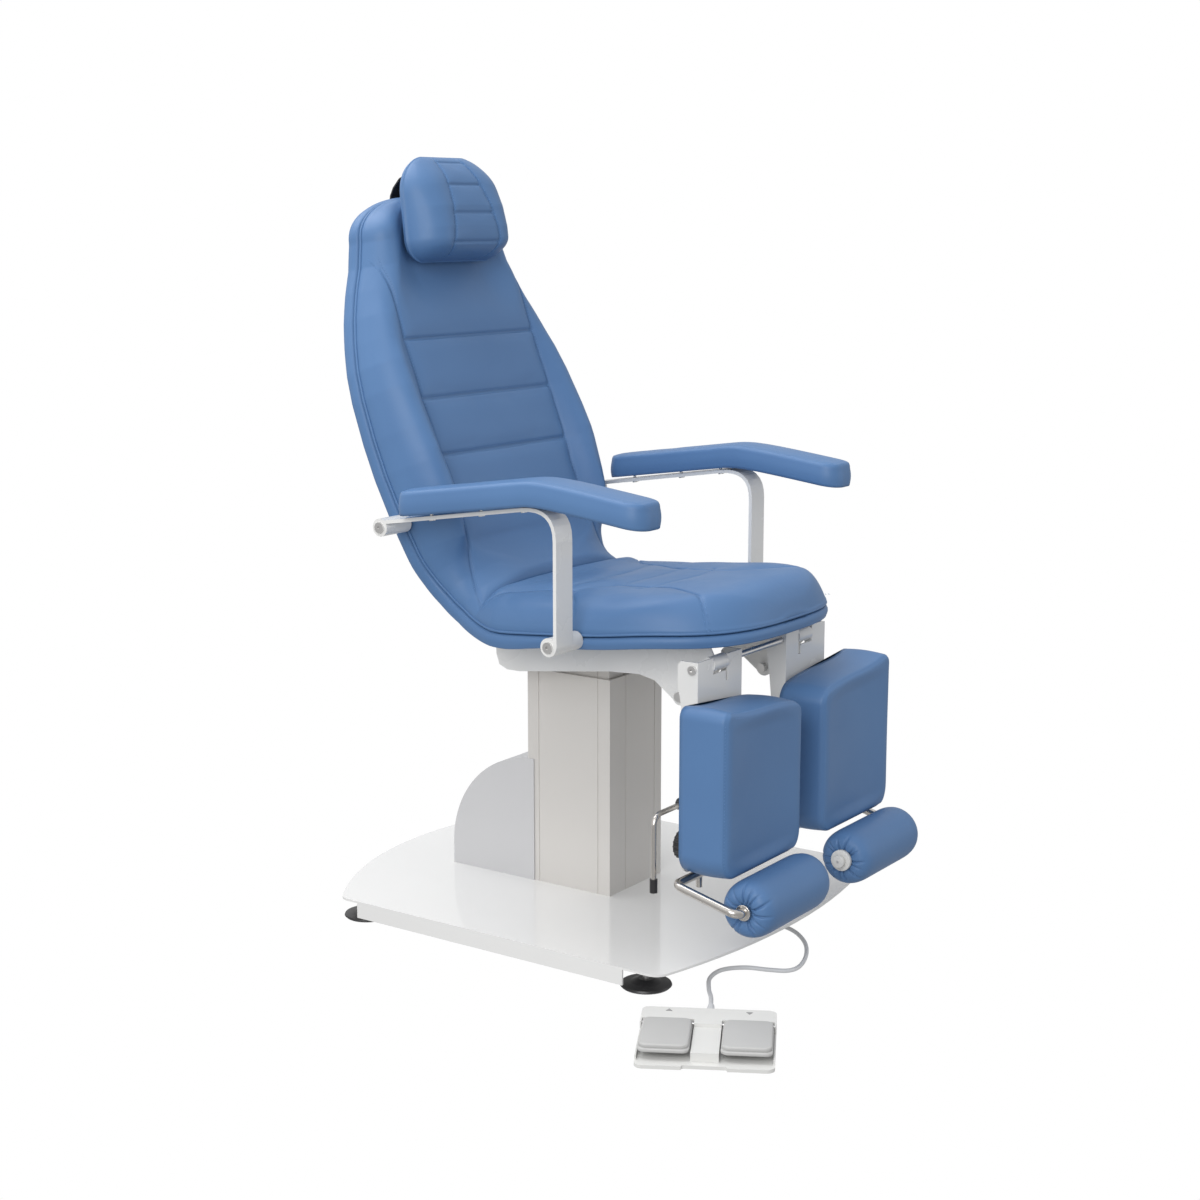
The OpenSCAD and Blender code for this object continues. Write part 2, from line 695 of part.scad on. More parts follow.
// Lengths of further rows, and their distances from the crease
seat_stations = [280, 385, 412, 500];
crease_steps = [30, 12, 4, seat_gap];
function seat_top(s, t) =
  let (w = half_width(s), side_d = w * (1 - abs(t)), front_d = s - front_of(t * w),
    end_d = crease_at(t) - s,
    groove = max([for (c = seat_channels) channel(s - c, channel_w)]) * (abs(t) < seam_share ? 1 : 0))
  cushion_base + rim_h + (seat_pad_t - rim_h) * edge_share(side_d, seat_edge_r)
    * edge_share(front_d, front_edge_fall) * (0.75 + 0.25 * edge_share(end_d, seat_edge_r))
    * (1 - 0.12 * t * t)
    - seam_depth * max(channel(abs(t) - seam_share, seam_w), groove)
      * edge_share(front_d, 2 * front_edge_fall);
// Length at which the rounded front reaches the sideways place x
function front_of(x) = front_round
  * (1 - pow(max(0, 1 - pow(abs(x) / (shell_half_w * half_width_shares[0][1]), front_power)),
    1 / front_power));

function seat_rows(t) = let (c = crease_at(t)) concat(
  [for (k = [0, 0.015, 0.05, 0.11, 0.2, 0.35, 0.5]) end_inset + k * front_round],
  [for (s = seat_channels) each [s - channel_w, s, s + channel_w]],
  seat_stations, [for (d = crease_steps) c - d]);
function sorted(v) = len(v) <= 1 ? v : let (p = v[floor(len(v) / 2)]) concat(
  sorted([for (x = v) if (x < p) x]), [for (x = v) if (x == p) x], sorted([for (x = v) if (x > p) x]));

module seat_cushion() {
  m = len(seat_rows(0));
  color(blue_vinyl) placed() grid_solid(
    [for (i = [0:m - 1]) [for (t = cushion_cols)
      let (s = sorted(seat_rows(t))[i]) board_point(s, t * (half_width(s) - rim_inset), cushion_base)]],
    [for (i = [0:m - 1]) [for (t = cushion_cols)
      let (s = sorted(seat_rows(t))[i]) board_point(s, t * (half_width(s) - rim_inset), seat_top(s, t))]]);
}

back_pad_t = 72;
back_channels = [927, 1041, 1163];
bolster_shares = [[0, 0], [0.08, 0.1], [0.2, 0.6], [0.3, 1], [0.6, 1], [0.75, 0.75], [0.9, 0.3], [1, 0.1]];
back_edge_r = 46;
back_stations = [620, 660, 700, 745, 790, 855];
upper_stations = [985, 1100, 1225, 1300];
// The lower corners fall off softly towards the seat, and the middle is thin behind the pillow
function back_side_r(v) = back_edge_r * (1 + 2.2 * (1 - smooth(v / 0.26)));
function back_top(s, t) =
  let (w = half_width(s), side_d = w * (1 - abs(t)), top_d = shell_l - s,
    v = (s - crease_rim) / (shell_l - crease_rim), low_d = s - crease_at(t),
    b = linear_at(bolster_shares, v),
    a = clamp01((abs(t) - seam_share - 0.11 * smooth((v - 0.7) / 0.15)) / (0.85 - seam_share)),
    groove = max([for (c = back_channels) channel(s - c, channel_w)]) * (abs(t) < seam_share ? 1 : 0),
    middle = back_pad_t * (1 - 0.4 * smooth((v - 0.6) / 0.25)),
    side = lerp(back_pad_t, bolster_t, b) * (1 - 0.28 * smooth((v - 0.7) / 0.25)),
    full = lerp(middle, side, sin(90 * a)))
  cushion_base + rim_h + (full - rim_h) * edge_share(side_d, back_side_r(v))
    * edge_share(top_d, back_edge_r) * (0.7 + 0.3 * edge_share(low_d, back_edge_r))
    - seam_depth * max(channel(abs(t) - seam_share, seam_w), groove) * clamp01(top_d / (4 * back_edge_r));
function back_rows(t) = let (c = crease_at(t)) concat(
  [for (k = [3:-1:0]) c + crease_steps[k]], back_stations,
  [for (s = back_channels) each [s - channel_w, s, s + channel_w]],
  upper_stations, [for (k = [0.9, 0.6, 0.35, 0.15, 0.05]) shell_l - k * top_round],
  [shell_l - end_inset]);

module back_cushion() {
  m = len(back_rows(0));
  color(blue_vinyl) placed() grid_solid(
    [for (i = [0:m - 1]) [for (t = cushion_cols)
      let (s = sorted(back_rows(t))[i]) board_point(s, t * (half_width(s) - rim_inset), cushion_base)]],
    [for (i = [0:m - 1]) [for (t = cushion_cols)
      let (s = sorted(back_rows(t))[i]) board_point(s, t * (half_width(s) - rim_inset), back_top(s, t))]]);
}

// Armrests

rear_boss_y = 236;
rear_boss_z = 786;
front_boss_y = -150;
front_boss_z = 605;
bar_low_y = -164.5;
bar_top_y = -113;
bar_top_z = 849;
bar_lead = 20;
bar_fall = 3;
bar_turn = 55;
bar_over = 7;
bar_into = 4;
boss_out = bar_x + bar_w;

// Middle line of the bar from the rear boss to the front boss
bar_rear = [rear_boss_y - bar_into, rear_boss_z + boss_r - bar_t];
bar_line = concat([bar_rear],
  arc_points([bar_top_y + bar_lead, bar_top_z - bar_fall], [bar_low_y, bar_top_z - bar_turn],
    [bar_low_y, bar_top_z + bar_over]),
  [[bar_low_y, front_boss_z]]);
// Curve from a to c that leans towards b
function arc_points(a, c, b) = [for (k = [0:8]) let (t = k / 8)
  (1 - t) * (1 - t) * a + 2 * t * (1 - t) * b + t * t * c];
function side_of(line, i) =
  let (n = len(line), p = line[max(0, i - 1)], q = line[min(n - 1, i + 1)], d = unit(q - p)) [-d[1], d[0]];
module band(line, t) {
  n = len(line);
  polygon(concat([for (i = [0:n - 1]) line[i] + side_of(line, i) * t / 2],
    [for (i = [n - 1:-1:0]) line[i] - side_of(line, i) * t / 2]));
}

boss_in_rear = 0.98 * shell_half_w;
boss_in_front = 0.939 * shell_half_w;
bolt_r = 5;
module armrest_bar(side) {
  color(white_paint) placed() on_side(side) difference() {
    union() {
      across(bar_x, bar_x + bar_w) band(bar_line, bar_t);
      rod_x(boss_in_rear, boss_out, rear_boss_y, rear_boss_z, boss_r);
      rod_x(boss_in_front, boss_out, front_boss_y, front_boss_z, boss_r);
    }
    rod_x(boss_in_front - over, boss_out + over, rear_boss_y, rear_boss_z, bolt_r);
    rod_x(boss_in_front - over, boss_out + over, front_boss_y, front_boss_z, bolt_r);
  }
}

cap_t = 4;
module armrest_caps() {
  color(steel) placed() for (side = [-1, 1]) on_side(side)
    for (p = [[rear_boss_y, rear_boss_z], [front_boss_y, front_boss_z]]) difference() {
      rod_x(boss_out, boss_out + cap_t, p[0], p[1], 2 * bolt_r);
      hex_socket(boss_out + cap_t, p[0], p[1], bolt_r * 0.7);
    }
}
bolt_into = 30;
module armrest_bolts() {
  color(steel) placed() for (side = [-1, 1]) on_side(side) {
    rod_x(boss_in_rear - bolt_into, boss_out, rear_boss_y, rear_boss_z, bolt_r);
    rod_x(boss_in_front - bolt_into, boss_out, front_boss_y, front_boss_z, bolt_r);
  }
}

// Arm pads
arm_pad_out = 8;
arm_pad_x = bar_x + bar_w / 2 + arm_pad_out;
arm_pad_rear = 163;
arm_pad_front = -357;
arm_rise = (bar_top_z - bar_rear[1]) / (bar_rear[0] - bar_top_y);
arm_bend_y = -105;
arm_bend_drop = 0.000932;
// Underside of an arm pad at y
function arm_under(y) = let (d = max(0, arm_bend_y - y))
  bar_rear[1] + bar_t / 2 + (bar_rear[0] - y) * arm_rise - arm_bend_drop * d * d;
arm_rows = [0, 0.01, 0.035, 0.08, 0.16, 0.3, 0.45, 0.6, 0.7, 0.8, 0.88, 0.94, 0.975, 1];
arm_cols = [-1, -0.94, -0.8, -0.55, 0, 0.55, 0.8, 0.94, 1];
arm_edge = 6;
function arm_plan(u) = let (l = arm_pad_rear - arm_pad_front, d = min(u, 1 - u) * l + end_inset)
  arm_pad_w / 2 * rounding(d, arm_pad_w / 2, 2.6);
function arm_high(u, t) = let (l = arm_pad_rear - arm_pad_front)
  arm_edge + (arm_pad_t - arm_edge) * edge_share(min(u, 1 - u) * l, arm_pad_t / 2)
    * edge_share((1 - abs(t)) * arm_pad_w / 2, arm_pad_t / 2) * (1 - 0.06 * t * t);
module armrest_pad(side) {
  color(blue_vinyl) placed() on_side(side) grid_solid(
    [for (u = arm_rows) let (y = lerp(arm_pad_front, arm_pad_rear, u))
      [for (t = arm_cols) [arm_pad_x + t * arm_plan(u), y, arm_under(y) + seat_gap]]],
    [for (u = arm_rows) let (y = lerp(arm_pad_front, arm_pad_rear, u))
      [for (t = arm_cols) [arm_pad_x + t * arm_plan(u), y, arm_under(y) + arm_high(u, t)]]]);
}
pad_screw_ys = [130, 15, -80];
pad_screw_r = 3;
pad_screw_head = 6;
module armrest_pad_screws() {
  color(steel) placed() for (side = [-1, 1]) on_side(side) for (y = pad_screw_ys)
    translate([bar_x + bar_w / 2, y, arm_under(y) - bar_t]) rotate([-atan(arm_rise), 0, 0]) {
      translate([0, 0, -pad_screw_head / 2]) cylinder(h = pad_screw_head / 2, r = pad_screw_head);
      cylinder(h = bar_t + 2 * pad_screw_head, r = pad_screw_r);
    }
}

// Headrest, placed along the straight top of the back
function top_point(q, h) = along(bend_end, 90 - top_lean, q) + h * [-cos(top_lean), sin(top_lean)];
strap_w = 100;
strap_t = 3;
strap_off = -5;
strap_low = -135;
strap_front = 78;
strap_curve = [[38, strap_front], [104, strap_front], [121, strap_front - strap_t], [131, 0.82 * strap_front],
  [133, 0.6 * strap_front], [127, 0.35 * strap_front], [112, 0.12 * strap_front], [98, 0], [82, strap_off],
  [strap_low, strap_off]];
module headrest_bracket() {
  color(black_plastic) placed() across(-strap_w / 2, strap_w / 2)
    band([for (p = strap_curve) top_point(p[0], p[1])], strap_t);
}
guide_low = -105;
guide_high = 45;
guide_wall = 5;
slot_gap = 0.06;
module headrest_guide() {
  half_w = strap_w / 2 + guide_wall;
  color(black_plastic) placed() difference() {
    across(-half_w, half_w) polygon(concat(
      [for (k = [0:10]) path_at(seat_l + hip_l + back_l + top_bend_l + lerp(guide_low, guide_high, k / 10))],
      [top_point(guide_high, strap_off - strap_t / 2 - guide_wall),
        top_point(guide_low, strap_off - strap_t / 2 - guide_wall)]));
    across(-strap_w / 2 - slot_gap, strap_w / 2 + slot_gap) polygon([
      for (p = [[2 * guide_low, -1], [2 * guide_high, -1], [2 * guide_high, 1], [2 * guide_low, 1]])
        top_point(p[0], strap_off + p[1] * (strap_t / 2 + slot_gap))]);
  }
}
pillow_low = -36;
pillow_back = strap_front + strap_t / 2 + seat_gap;
pillow_rows = [0, 0.012, 0.04, 0.09, 0.16, 0.28, 0.42, 0.56, 0.7, 0.82, 0.91, 0.96, 0.988, 1];
pillow_cols = [-1, -0.985, -0.94, -0.85, -0.7, -0.45, -0.2, 0, 0.2, 0.45, 0.7, 0.85, 0.94, 0.985, 1];
pillow_shares = [[0, 0.95], [0.14, 0.99], [0.42, 1], [0.7, 0.88], [0.93, 0.6], [1, 0.5]];
pillow_edge = 12;
pillow_corner = 50;
function pillow_high(u, t) = pillow_edge + (pillow_t - pillow_edge) * linear_at(pillow_shares, u)
  * edge_share(min(u, 1 - u) * pillow_h, pillow_t / 2)
  * edge_share((1 - abs(t)) * pillow_w / 2, pillow_t / 2);
function pillow_half(u) = pillow_w / 2 * rounding(min(u, 1 - u) * pillow_h + end_inset, pillow_corner, 2.3);
module headrest_pillow() {
  color(blue_vinyl) placed() grid_solid(
    [for (u = pillow_rows) let (p = top_point(pillow_low + u * pillow_h, pillow_back))
      [for (t = pillow_cols) [t * pillow_half(u), p[0], p[1]]]],
    [for (u = pillow_rows) [for (t = pillow_cols)
      let (p = top_point(pillow_low + u * pillow_h, pillow_back + pillow_high(u, t)))
        [t * pillow_half(u), p[0], p[1]]]]);
}

// Leg rests, drawn on the sitter's left

leg_out = 2;
leg_x = sleeve_x + sleeve_l / 2 + leg_out;
bracket_front = -382;
bracket_top = hinge_z + sleeve_r;
wide_low = 430;
tongue_low = 240;
tongue_w = 90;
notch_gap = 0.3;
// Outline of a flange, as shares of its depth and drop
flange_shares = [[0, 0], [0.84, 0], [1, 0.05], [1, 0.29], [0.86, 0.48], [0.71, 0.92], [0.52, 1], [0, 1]];
module leg_bracket(side) {
  color(white_paint) placed() on_side(side) difference() {
    union() {
      translate([leg_x, bracket_front + bracket_t, 0]) rotate([90, 0, 0])
        linear_extrude(height = bracket_t) polygon([
          [-bracket_w / 2, bracket_top], [bracket_w / 2, bracket_top], [bracket_w / 2, wide_low],
          [tongue_w / 2, wide_low - bracket_t], [tongue_w / 2, tongue_low], [-tongue_w / 2, tongue_low],
          [-tongue_w / 2, wide_low - bracket_t], [-bracket_w / 2, wide_low]]);
      for (x = [leg_x - bracket_w / 2, leg_x + bracket_w / 2 - bracket_t])
        across(x, x + bracket_t) translate([bracket_front, bracket_top])
          polygon([for (p = flange_shares) [p[0] * flange_d, p[1] * (wide_low - bracket_top)]]);
    }
    // Notch for the hinge sleeve, with a small slot beside it
    block([sleeve_x - notch_gap, bracket_front - over, hinge_z - sleeve_r - bracket_t / 2],
      [sleeve_x + sleeve_l + notch_gap, bracket_front + 2 * over, bracket_top + over]);
    block([sleeve_x - notch_gap, bracket_front - over, hinge_z - 2.4 * sleeve_r],
      [sleeve_x + sleeve_r / 2, bracket_front + over, hinge_z]);
    rod_x(leg_x - bracket_w, leg_x + bracket_w, hinge_y, hinge_z, hinge_pin_r + run_gap);
  }
}

rod_y_at = -379;
rod_apart = 60;
rod_xs = [leg_x - rod_apart, leg_x + rod_apart];
back_plate_y = -387;
back_plate_t = 4;
plate_low = 214;
plate_inner = 60;
plate_outer = 290;
upper_z = 318;
lower_z = 243;
guide_t = 24;
upper_rear = -351;
lower_rear = -360;
stud_r2 = 4;
lever_off = 66;
lever_x = leg_x + lever_off;
guide_in = 72;
guide_out = 78;
plate_corner = 20;
plate_below = 11;
stud_into = 17;
turn_gap = 1;
module calf_carriage(side) {
  color(white_paint) placed() on_side(side) difference() {
    union() {
      translate([0, back_plate_y, 0]) rotate([90, 0, 0]) linear_extrude(height = back_plate_t)
        hull() for (p = [[plate_inner, plate_low, 1, 1], [plate_outer, plate_low, -1, 1],
            [plate_outer, calf_top(plate_outer) - plate_below, -1, -1],
            [plate_inner, calf_top(plate_inner) - plate_below, 1, -1]])
          translate([p[0] + p[2] * plate_corner, p[1] + p[3] * plate_corner])
            circle(r = plate_corner, $fn = hull_fn);
      block([leg_x - guide_in, back_plate_y, upper_z - guide_t / 2],
        [leg_x + guide_out, upper_rear, upper_z + guide_t / 2]);
      block([leg_x - guide_in, back_plate_y, lower_z - guide_t / 2],
        [leg_x + guide_out, lower_rear, lower_z + guide_t / 2]);
    }
    block([leg_x - tongue_w / 2 - slot_gap, bracket_front - slot_gap, lower_z - guide_t],
      [leg_x + tongue_w / 2 + slot_gap, bracket_front + bracket_t + slot_gap, upper_z + guide_t]);
    for (x = rod_xs) translate([x, rod_y_at, lower_z - guide_t])
      cylinder(h = upper_z - lower_z + 2 * guide_t, r = rod_r + run_gap);
    rod_y(lever_x, upper_rear + over, upper_rear - stud_into, upper_z, stud_r2 + run_gap);
    rod_y(rod_xs[1], lower_rear + over, rod_y_at, lower_z, stud_r2 + run_gap);
  }
}

// Top of a calf pad at sideways place x
calf_inner = 50;
calf_low = 218;
function calf_top(x) = let (v = (x - calf_inner) / calf_pad_w)
  calf_low + calf_pad_h - 37 * (1 - v) + 26 * (v * (1 - v)) * (0.5 - v) * 4;
calf_rows = [0, 0.01, 0.035, 0.08, 0.16, 0.3, 0.5, 0.7, 0.84, 0.92, 0.965, 0.99, 1];
calf_cols = [-1, -0.985, -0.94, -0.86, -0.6, -0.3, 0, 0.3, 0.6, 0.86, 0.94, 0.985, 1];
calf_edge = 20;
calf_round = 30;
calf_hollow = 8;
function calf_half(u) = calf_pad_w / 2 * (0.965 + 0.035 * edge_share(min(u, 1 - u) * calf_pad_h, calf_edge));
function calf_deep(u, t) = let (e = edge_share(min(u, 1 - u) * calf_pad_h, calf_round)
    * edge_share((1 - abs(t)) * calf_pad_w / 2, calf_round))
  calf_edge + (calf_pad_t - calf_edge) * e - calf_hollow * (1 - t * t) * e;
function calf_point(u, t, deep) = let (x = calf_inner + calf_pad_w / 2 + t * calf_half(u))
  [x, back_plate_y - back_plate_t - deep, lerp(calf_low, calf_top(x), u)];
module calf_pad(side) {
  color(blue_vinyl) placed() on_side(side) grid_solid(
    [for (t = calf_cols) [for (u = calf_rows) calf_point(u, t, 0)]],
    [for (t = calf_cols) [for (u = calf_rows) calf_point(u, t, calf_deep(u, t))]]);
}

lever_y = -343.5;
lever_r = 5;
lever_out = 311;
lever_low = 190;
hub_gap = 0.4;
hub_front = upper_rear + hub_gap;
hub_rear = -337;
tip_l = 25;
module clamp_lever(side) {
  color(steel) placed() on_side(side) {
    rod_y(lever_x, lever_y, upper_rear - stud_into + turn_gap, upper_z, stud_r2);
    bent_rod([[lever_x, lever_y, upper_z], [lever_out, lever_y, upper_z], [lever_out, lever_y, lever_low]],
      lever_r, 4 * lever_r);
  }
}
module lever_fittings(side) {
  color(black_plastic) placed() on_side(side) {
    rod_y(lever_x, hub_front, hub_rear, upper_z, 2.1 * lever_r);
    translate([lever_out, lever_y, lever_low - tip_l / 2]) cylinder(h = tip_l, r = 1.4 * lever_r);
  }
}
knob_front = -339;
rib_count = 18;
rib_r = 2;
module clamp_knob(side) {
  x = rod_xs[1];
  color(black_plastic) placed() on_side(side) union() {
    rod_y(x, lower_rear + hub_gap, knob_front, lower_z, knob_r - 0.75 * rib_r);
    for (k = [0:rib_count - 1])
      rod_y(x + (knob_r - rib_r) * cos(k * 360 / rib_count), lower_rear + hub_gap, knob_front,
        lower_z + (knob_r - rib_r) * sin(k * 360 / rib_count), rib_r, $fn = 12);
    rod_y(x, lower_rear + turn_gap, rod_y_at + rod_r + seat_gap, lower_z, stud_r2);
  }
}

weld_in = 1.5;
cross_y = rod_y_at - rod_r - tube_r + weld_in;
cross_z = 202;
roll_y = -520;
roll_z = 171;
tube_x = 316;
tube_bend = 16;
rod_low = 169;
rod_top = 395;
roll_in = 46.5;
cap_r = 16;
end_gap = 0.5;
cap_t2 = 8;
cap_out = roll_in - end_gap - cap_t2;
roll_reach = norm([roll_y - cross_y, roll_z - cross_z]);
module roll_arm(side) {
  color(steel) placed() on_side(side) {
    for (x = rod_xs) translate([x, rod_y_at, rod_low]) cylinder(h = rod_top - rod_low, r = rod_r);
    translate([0, cross_y, cross_z]) rotate([asin((cross_z - roll_z) / roll_reach), 0, 0])
      bent_rod([[rod_xs[0] - 2 * rod_r, 0, 0], [tube_x, 0, 0], [tube_x, -roll_reach, 0],
        [roll_in - end_gap, -roll_reach, 0]], tube_r, tube_bend);
  }
}
module roll_retainers(side) {
  color("white") placed() on_side(side) difference() {
    union() {
      rod_x(cap_out, roll_in - end_gap, roll_y, roll_z, cap_r);
      rod_x(roll_in + roll_l + seat_gap, tube_x - tube_bend, roll_y, roll_z, cap_r);
    }
    rod_x(roll_in - end_gap, tube_x, roll_y, roll_z, tube_r);
    translate([cap_out - socket_depth, roll_y, roll_z]) rotate([0, 90, 0])
      cylinder(h = 2 * socket_depth, r = tube_r / 2, $fn = 6);
  }
}
// Outline of a roll, as shares of its length and radius
roll_shares = [[0, 0.34], [0.012, 0.5], [0.028, 0.74], [0.06, 0.9], [0.12, 0.975], [0.25, 1],
  [0.5, 1], [0.75, 1], [0.88, 0.975], [0.94, 0.9], [0.972, 0.74], [0.988, 0.5], [1, 0.34]];
module foot_roll(side) {
  bore = tube_r + run_gap;
  color(blue_vinyl) placed() on_side(side) translate([roll_in, roll_y, roll_z]) rotate([0, 90, 0])
    rotate_extrude() polygon(concat([[bore, 0]],
      [for (p = roll_shares) [p[1] * roll_r, p[0] * roll_l]], [[bore, roll_l]]));
}

// Cable from the foot control to the base
gland_x = 90;
gland_l = 22;
gland_z = frame_z + frame_h / 2;
relief_l = 52;
relief_z = 13;
relief_end = [control_x - (control_d / 2 + relief_l) * sin(control_turn),
  control_y + (control_d / 2 + relief_l) * cos(control_turn)];
cable_z = cable_d / 2;
cable_points = [
  [relief_end[0] - cable_d, relief_end[1] - cable_z, relief_z],
  [-306, -462, 6], [-268, -434, cable_z], [-222, -408, cable_z], [-176, -405, cable_z],
  [-142, -433, cable_z], [-126, -477, cable_z], [-110, -506, cable_z], [-78, -512, cable_z],
  [-22, -494, cable_z], [33, -461, cable_z], [75, -416, cable_z], [92, -370, cable_z],
  [97, -300, 6], [94, -230, 20], [gland_x, -170, 38], [gland_x, -column_d / 2 - gland_l + cable_z, gland_z]];
function spline_at(p, i, t) = let (n = len(p), a = p[max(0, i - 1)], b = p[i], c = p[i + 1],
    d = p[min(n - 1, i + 2)])
  0.5 * ((2 * b) + (c - a) * t + (2 * a - 5 * b + 4 * c - d) * t * t + (3 * b - a - 3 * c + d) * t * t * t);
cable_steps = 3;
function cable_line() = concat([for (i = [0:len(cable_points) - 2], k = [0:cable_steps - 1])
  spline_at(cable_points, i, k / cable_steps)], [cable_points[len(cable_points) - 1]]);
module control_cable() {
  line = [for (p = cable_line()) [p[0], p[1], max(p[2], cable_z)]];
  n = len(line);
  color(light_grey) placed() skin([for (i = [0:n - 1])
    let (d = unit(line[min(n - 1, i + 1)] - line[max(0, i - 1)]),
      x = unit(cross([0, 0, 1], d)), y = cross(d, x))
      [for (k = [0:9]) line[i] + cable_d / 2 * (x * cos(k * 36 + 18) + y * sin(k * 36 + 18))]]);
}
module cable_relief() {
  color(light_grey) control_placed() translate([0, control_d / 2, relief_z]) rotate([-90, 0, 0])
    difference() {
      cylinder(h = relief_l, r1 = relief_z - slab_z, r2 = 0.7 * cable_d);
      translate([0, 0, relief_l / 2]) cylinder(h = relief_l, r = cable_d / 2);
    }
}
module cable_gland() {
  color(black_plastic) placed() difference() {
    rod_y(gland_x, -column_d / 2, -column_d / 2 - gland_l, gland_z, cable_d);
    rod_y(gland_x, -column_d / 2 - gland_l / 4, -column_d / 2 - 2 * gland_l, gland_z, cable_d / 2);
  }
}

base_plate();
base_frame();
levelling_feet();
foot_studs();
column_outer();
column_glides();
lift_actuator();
rear_cover();
control_box();
cable_gland();
control_cable();
cable_relief();
control_housing();
control_feet();
pedal_pins();
pedal(-1);  // pedal_up
pedal(1);  // pedal_down
column_inner();
lift_rod();
seat_frame();
stop_bolts();
hinge_shaft();
hinge_screws();
seat_shell();
seat_cushion();
back_cushion();
armrest_bar(-1);  // armrest_bar_right
armrest_bar(1);  // armrest_bar_left
armrest_caps();
armrest_bolts();
armrest_pad_screws();
armrest_pad(-1);  // armrest_pad_right
armrest_pad(1);  // armrest_pad_left
headrest_guide();
headrest_bracket();
headrest_pillow();
leg_bracket(-1);  // leg_bracket_right
calf_carriage(-1);  // calf_carriage_right
calf_pad(-1);  // calf_pad_right
clamp_lever(-1);  // clamp_lever_right
lever_fittings(-1);  // lever_fittings_right
clamp_knob(-1);  // clamp_knob_right
roll_arm(-1);  // roll_arm_right
roll_retainers(-1);  // roll_retainers_right
foot_roll(-1);  // foot_roll_right
leg_bracket(1);  // leg_bracket_left
calf_carriage(1);  // calf_carriage_left
calf_pad(1);  // calf_pad_left
clamp_lever(1);  // clamp_lever_left
lever_fittings(1);  // lever_fittings_left
clamp_knob(1);  // clamp_knob_left
roll_arm(1);  // roll_arm_left
roll_retainers(1);  // roll_retainers_left
foot_roll(1);  // foot_roll_left
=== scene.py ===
import math
import bpy
import bmesh
import numpy as np
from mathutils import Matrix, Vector


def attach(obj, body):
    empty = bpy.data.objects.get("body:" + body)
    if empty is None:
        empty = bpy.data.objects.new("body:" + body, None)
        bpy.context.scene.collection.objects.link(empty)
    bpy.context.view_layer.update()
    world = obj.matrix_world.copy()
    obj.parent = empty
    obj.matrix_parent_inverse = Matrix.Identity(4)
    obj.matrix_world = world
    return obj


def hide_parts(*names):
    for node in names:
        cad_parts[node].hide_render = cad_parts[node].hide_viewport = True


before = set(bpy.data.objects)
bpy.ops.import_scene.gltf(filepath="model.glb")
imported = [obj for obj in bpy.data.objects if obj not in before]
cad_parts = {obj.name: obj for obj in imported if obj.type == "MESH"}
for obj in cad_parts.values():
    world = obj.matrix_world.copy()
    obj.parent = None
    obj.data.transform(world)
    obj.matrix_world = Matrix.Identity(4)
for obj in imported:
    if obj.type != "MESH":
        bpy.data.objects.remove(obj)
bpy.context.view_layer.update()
print("frame loaded")

# the chair's own axes start at the column's middle, this moves a point to the frame's origin (mm)
chairOrigin = np.array((116.4, 122.05, 0.0))


def placeMm(points):
    return (np.asarray(points, float) + chairOrigin) / 1000.0


# ---- camera ----
cameraView = {"place": (-3191.1, -2229.9, 1354.7), "turn": 55.2, "tilt": 10.7, "lens": 61.017, "sensor": 36.0}
camData = bpy.data.cameras.new("photoCamera")
camData.lens = cameraView["lens"]
camData.sensor_width = cameraView["sensor"]
camData.clip_end = 50
photoCamera = bpy.data.objects.new("photoCamera", camData)
photoCamera.location = placeMm(cameraView["place"])
photoCamera.rotation_euler = (math.radians(90 - cameraView["tilt"]), 0, -math.radians(cameraView["turn"]))
bpy.context.scene.collection.objects.link(photoCamera)
bpy.context.scene.camera = photoCamera

# ---- materials ----


def newGroup(name, inputs, outputs):  # node group with a vector and the given numbers as its inputs
    group = bpy.data.node_groups.new(name, "ShaderNodeTree")
    sockets = group.interface
    sockets.new_socket(name="Vector", in_out="INPUT", socket_type="NodeSocketVector")
    for label, value in inputs.items():
        sock = sockets.new_socket(name=label, in_out="INPUT", socket_type="NodeSocketFloat")
        sock.default_value = value
    for label in outputs:
        sockets.new_socket(name=label, in_out="OUTPUT", socket_type="NodeSocketFloat")
    return group, group.nodes.new("NodeGroupInput").outputs, group.nodes.new("NodeGroupOutput").inputs


def addNode(tree, kind, inputs=None, **values):  # an input takes a value, or the output that feeds it
    node = tree.nodes.new(kind)
    for key, value in values.items():
        setattr(node, key, value)
    for key, value in (inputs or {}).items():
        if isinstance(value, bpy.types.NodeSocket):
            tree.links.new(value, node.inputs[key])
        else:
            node.inputs[key].default_value = value
    return node


def leatherGrain():  # fine pebbled grain of vinyl, as a height and a tint mask
    group, entry, leave = newGroup("leatherGrain", {"Cells": 900.0, "Cloud": 6.0}, ("Height", "Tint"))
    vector = entry["Vector"]
    cells = addNode(group, "ShaderNodeTexVoronoi",
                    {"Smoothness": 0.6, "Vector": vector, "Scale": entry["Cells"]}, feature="SMOOTH_F1")
    fine = addNode(group, "ShaderNodeTexNoise", {"Scale": 420, "Detail": 4, "Vector": vector})
    both = addNode(group, "ShaderNodeMath", {0: fine.outputs["Fac"], 1: 0.45, 2: cells.outputs["Distance"]},
                   operation="MULTIPLY_ADD")
    cloud = addNode(group, "ShaderNodeTexNoise", {"Detail": 3, "Vector": vector, "Scale": entry["Cloud"]})
    group.links.new(both.outputs[0], leave["Height"])
    group.links.new(cloud.outputs["Fac"], leave["Tint"])
    return group


